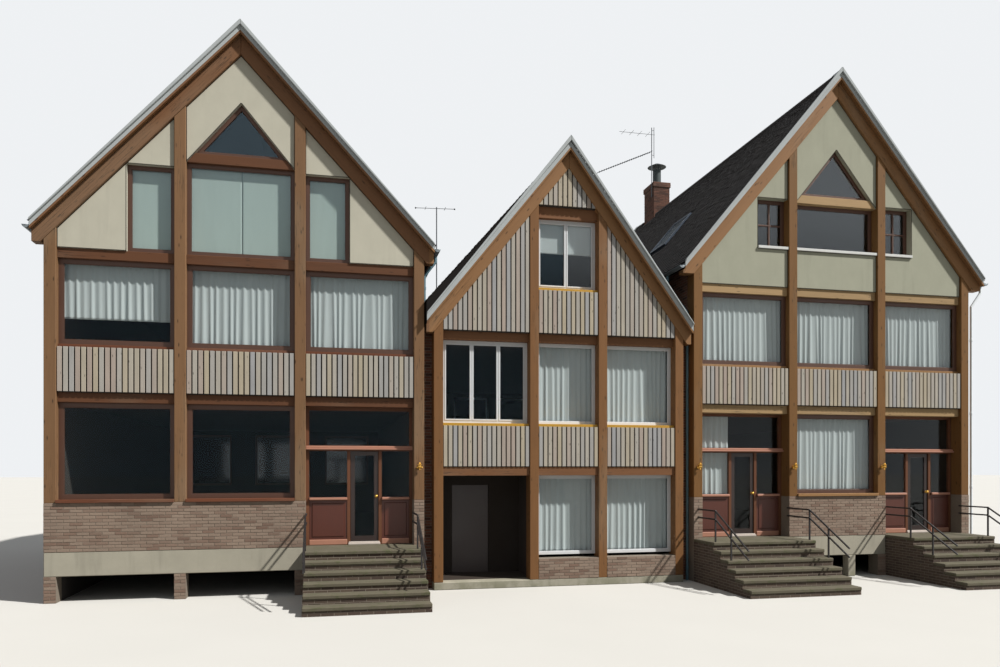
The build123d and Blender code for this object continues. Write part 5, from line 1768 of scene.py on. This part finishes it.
class TERRACE_OT_lamps(bpy.types.Operator):
    """Brass wall lamps with round globes"""
    bl_idname = "terrace.lamps"
    bl_label = "Wall lamps"

    def execute(self, context):
        made = [self.lamp(low, high) for low, high in boxes("lamps")]
        finished(joined(made), "brass_lamps", "lamp_brass", "root", ("lamps",))
        return {"FINISHED"}

    def lamp(self, low, high):
        """A wall rose, a curled arm, and a lantern of a cup, a globe and a cap."""
        x = (low.x + high.x) / 2
        y = -LAMP_OUT
        z = low.z + LAMP_HIGH
        aside, back, down = CURL
        left, right = (x - aside, y + back, z - down), (x + aside, y + back, z - down)
        wall = [rod((x, 0, z), (x, -0.012, z), LAMP_ROSE, 28),
                rod((x, -0.01, z), (x, -0.02, z), LAMP_BOSS, 24),
                rod((x, -0.01, z), (x, y, z - 0.012), LAMP_ARM, 12)]
        lantern = [rod((x, y, z - 0.05), (x, y, z - 0.02), LAMP_NECK, 16),
                   ball((x, y, z - 0.055), LAMP_DROP),
                   ball((x, y, z + 0.012), LAMP_GLOBE),
                   rod((x, y, z + 0.045), (x, y, z + 0.058), LAMP_CAP, 28),
                   ball((x, y, z + 0.075), LAMP_FINIAL)]
        curl = [ball(left, CURL_KNOB), ball(right, CURL_KNOB), rod(left, right, CURL_ROD, 10)]
        return joined(wall + lantern + curl)


STAGE_SIZE = 400
CLIP_END = 500
SENSOR = 36.0              # millimetres
SUN_WIDTH = math.radians(2)
SUN_COLOUR = (1.0, 0.97, 0.92)
SKY_COLOUR = (0.93, 0.96, 1.0)
BACKGROUND = (0.86, 0.88, 0.9)
FLOOR_COLOUR = linear(206, 205, 201)
FLOOR_BOUNCE = linear(118, 116, 110)   # the floor as the houses' own light sees it


class TERRACE_OT_stage(bpy.types.Operator):
    """Floor, pale background, sun, sky and the camera"""
    bl_idname = "terrace.stage"
    bl_label = "Stage"

    def execute(self, context):
        self.floor()
        self.sky(context.scene)
        self.sun()
        self.camera(context.scene)
        context.scene.view_settings.view_transform = "Standard"
        return {"FINISHED"}

    def floor(self):
        clear_selection()
        bpy.ops.mesh.primitive_plane_add(size=STAGE_SIZE, location=(0, 0, 0))
        obj = bpy.context.object
        obj.name = "stage_floor"
        p = Paint("stage_floor")
        grain = p.noise(p.place(), 0.4, 2)
        tint = p.mix(self.seen(p), FLOOR_BOUNCE, FLOOR_COLOUR)
        obj.data.materials.append(p.surface(p.shade(tint, 0.97 + grain * 0.06), 0.9))

    def seen(self, paint):
        """1 where the camera, a mirror or glass looks, and 0 for the light that falls on the houses."""
        rays = [paint.node("LightPath", output=f"Is {kind} Ray")
                for kind in ("Camera", "Glossy", "Transmission")]
        return rays[0].most(rays[1]).most(rays[2])

    def sky(self, scene):
        """Plain light from all sides; the camera, mirrors and glass see a pale background."""
        world = bpy.data.worlds.new("stage_sky")
        p = Paint("stage_sky", world)
        light = p.node("Background", None, {"Color": SKY_COLOUR, "Strength": settings("stage").sky})
        shown = p.node("Background", None, {"Color": BACKGROUND, "Strength": 1.0})
        both = p.node("MixShader", None, {0: self.seen(p), 1: light, 2: shown})
        p.node("OutputWorld", None, {"Surface": both})
        scene.world = world

    def sun(self):
        s = settings("stage")
        flat = math.cos(s.sun_rise)
        towards = Vector((flat * math.sin(s.sun_turn), -flat * math.cos(s.sun_turn), math.sin(s.sun_rise)))
        bpy.ops.object.light_add(type="SUN")
        lamp = bpy.context.object
        lamp.name = "stage_sun"
        lamp.rotation_mode = "QUATERNION"
        lamp.rotation_quaternion = towards.to_track_quat("Z", "Y")
        lamp.data.energy = s.sun
        lamp.data.angle = SUN_WIDTH
        lamp.data.color = SUN_COLOUR

    def camera(self, scene):
        s = settings("stage")
        bpy.ops.object.camera_add(location=(s.across, -s.back, s.eye),
                                  rotation=(math.pi / 2, 0, -s.turn))
        camera = bpy.context.object
        camera.name = "stage_camera"
        camera.data.lens = s.lens
        camera.data.sensor_width = SENSOR
        camera.data.shift_y = s.shift
        camera.data.clip_end = CLIP_END
        scene.camera = camera


class TERRACE_PT_sidebar(bpy.types.Panel):
    """Lists the operators and settings in the 3D view's sidebar"""
    bl_label = "Terrace"
    bl_idname = "TERRACE_PT_sidebar"
    bl_space_type = "VIEW_3D"
    bl_region_type = "UI"
    bl_category = "Terrace"

    def draw(self, context):
        for operator in OPERATORS:
            self.layout.operator(operator.bl_idname)
        for name, group in SETTINGS.items():
            box = self.layout.box()
            box.label(text=name.capitalize())
            for key in group.__annotations__:
                box.prop(settings(name), key)


OPERATORS = (TERRACE_OT_plain_nodes, TERRACE_OT_timber, TERRACE_OT_joinery, TERRACE_OT_cladding,
             TERRACE_OT_tiles, TERRACE_OT_trims, TERRACE_OT_cloth, TERRACE_OT_glazing, TERRACE_OT_entrances,
             TERRACE_OT_panel_shadow_gaps, TERRACE_OT_brickwork, TERRACE_OT_rainwater, TERRACE_OT_roof_pieces,
             TERRACE_OT_lamps, TERRACE_OT_stage)


def register():
    for cls in (*SETTINGS.values(), *OPERATORS, TERRACE_PT_sidebar):
        bpy.utils.register_class(cls)
    for name, group in SETTINGS.items():
        setattr(bpy.types.Scene, "terrace_" + name, bpy.props.PointerProperty(type=group))


def unregister():
    for name in SETTINGS:
        delattr(bpy.types.Scene, "terrace_" + name)
    for cls in reversed((*SETTINGS.values(), *OPERATORS, TERRACE_PT_sidebar)):
        bpy.utils.unregister_class(cls)


def main():
    register()
    PAINTS.update(painted_all())
    for operator in OPERATORS:
        group, name = operator.bl_idname.split(".")
        getattr(getattr(bpy.ops, group), name)()


if __name__ == "__main__":
    main()
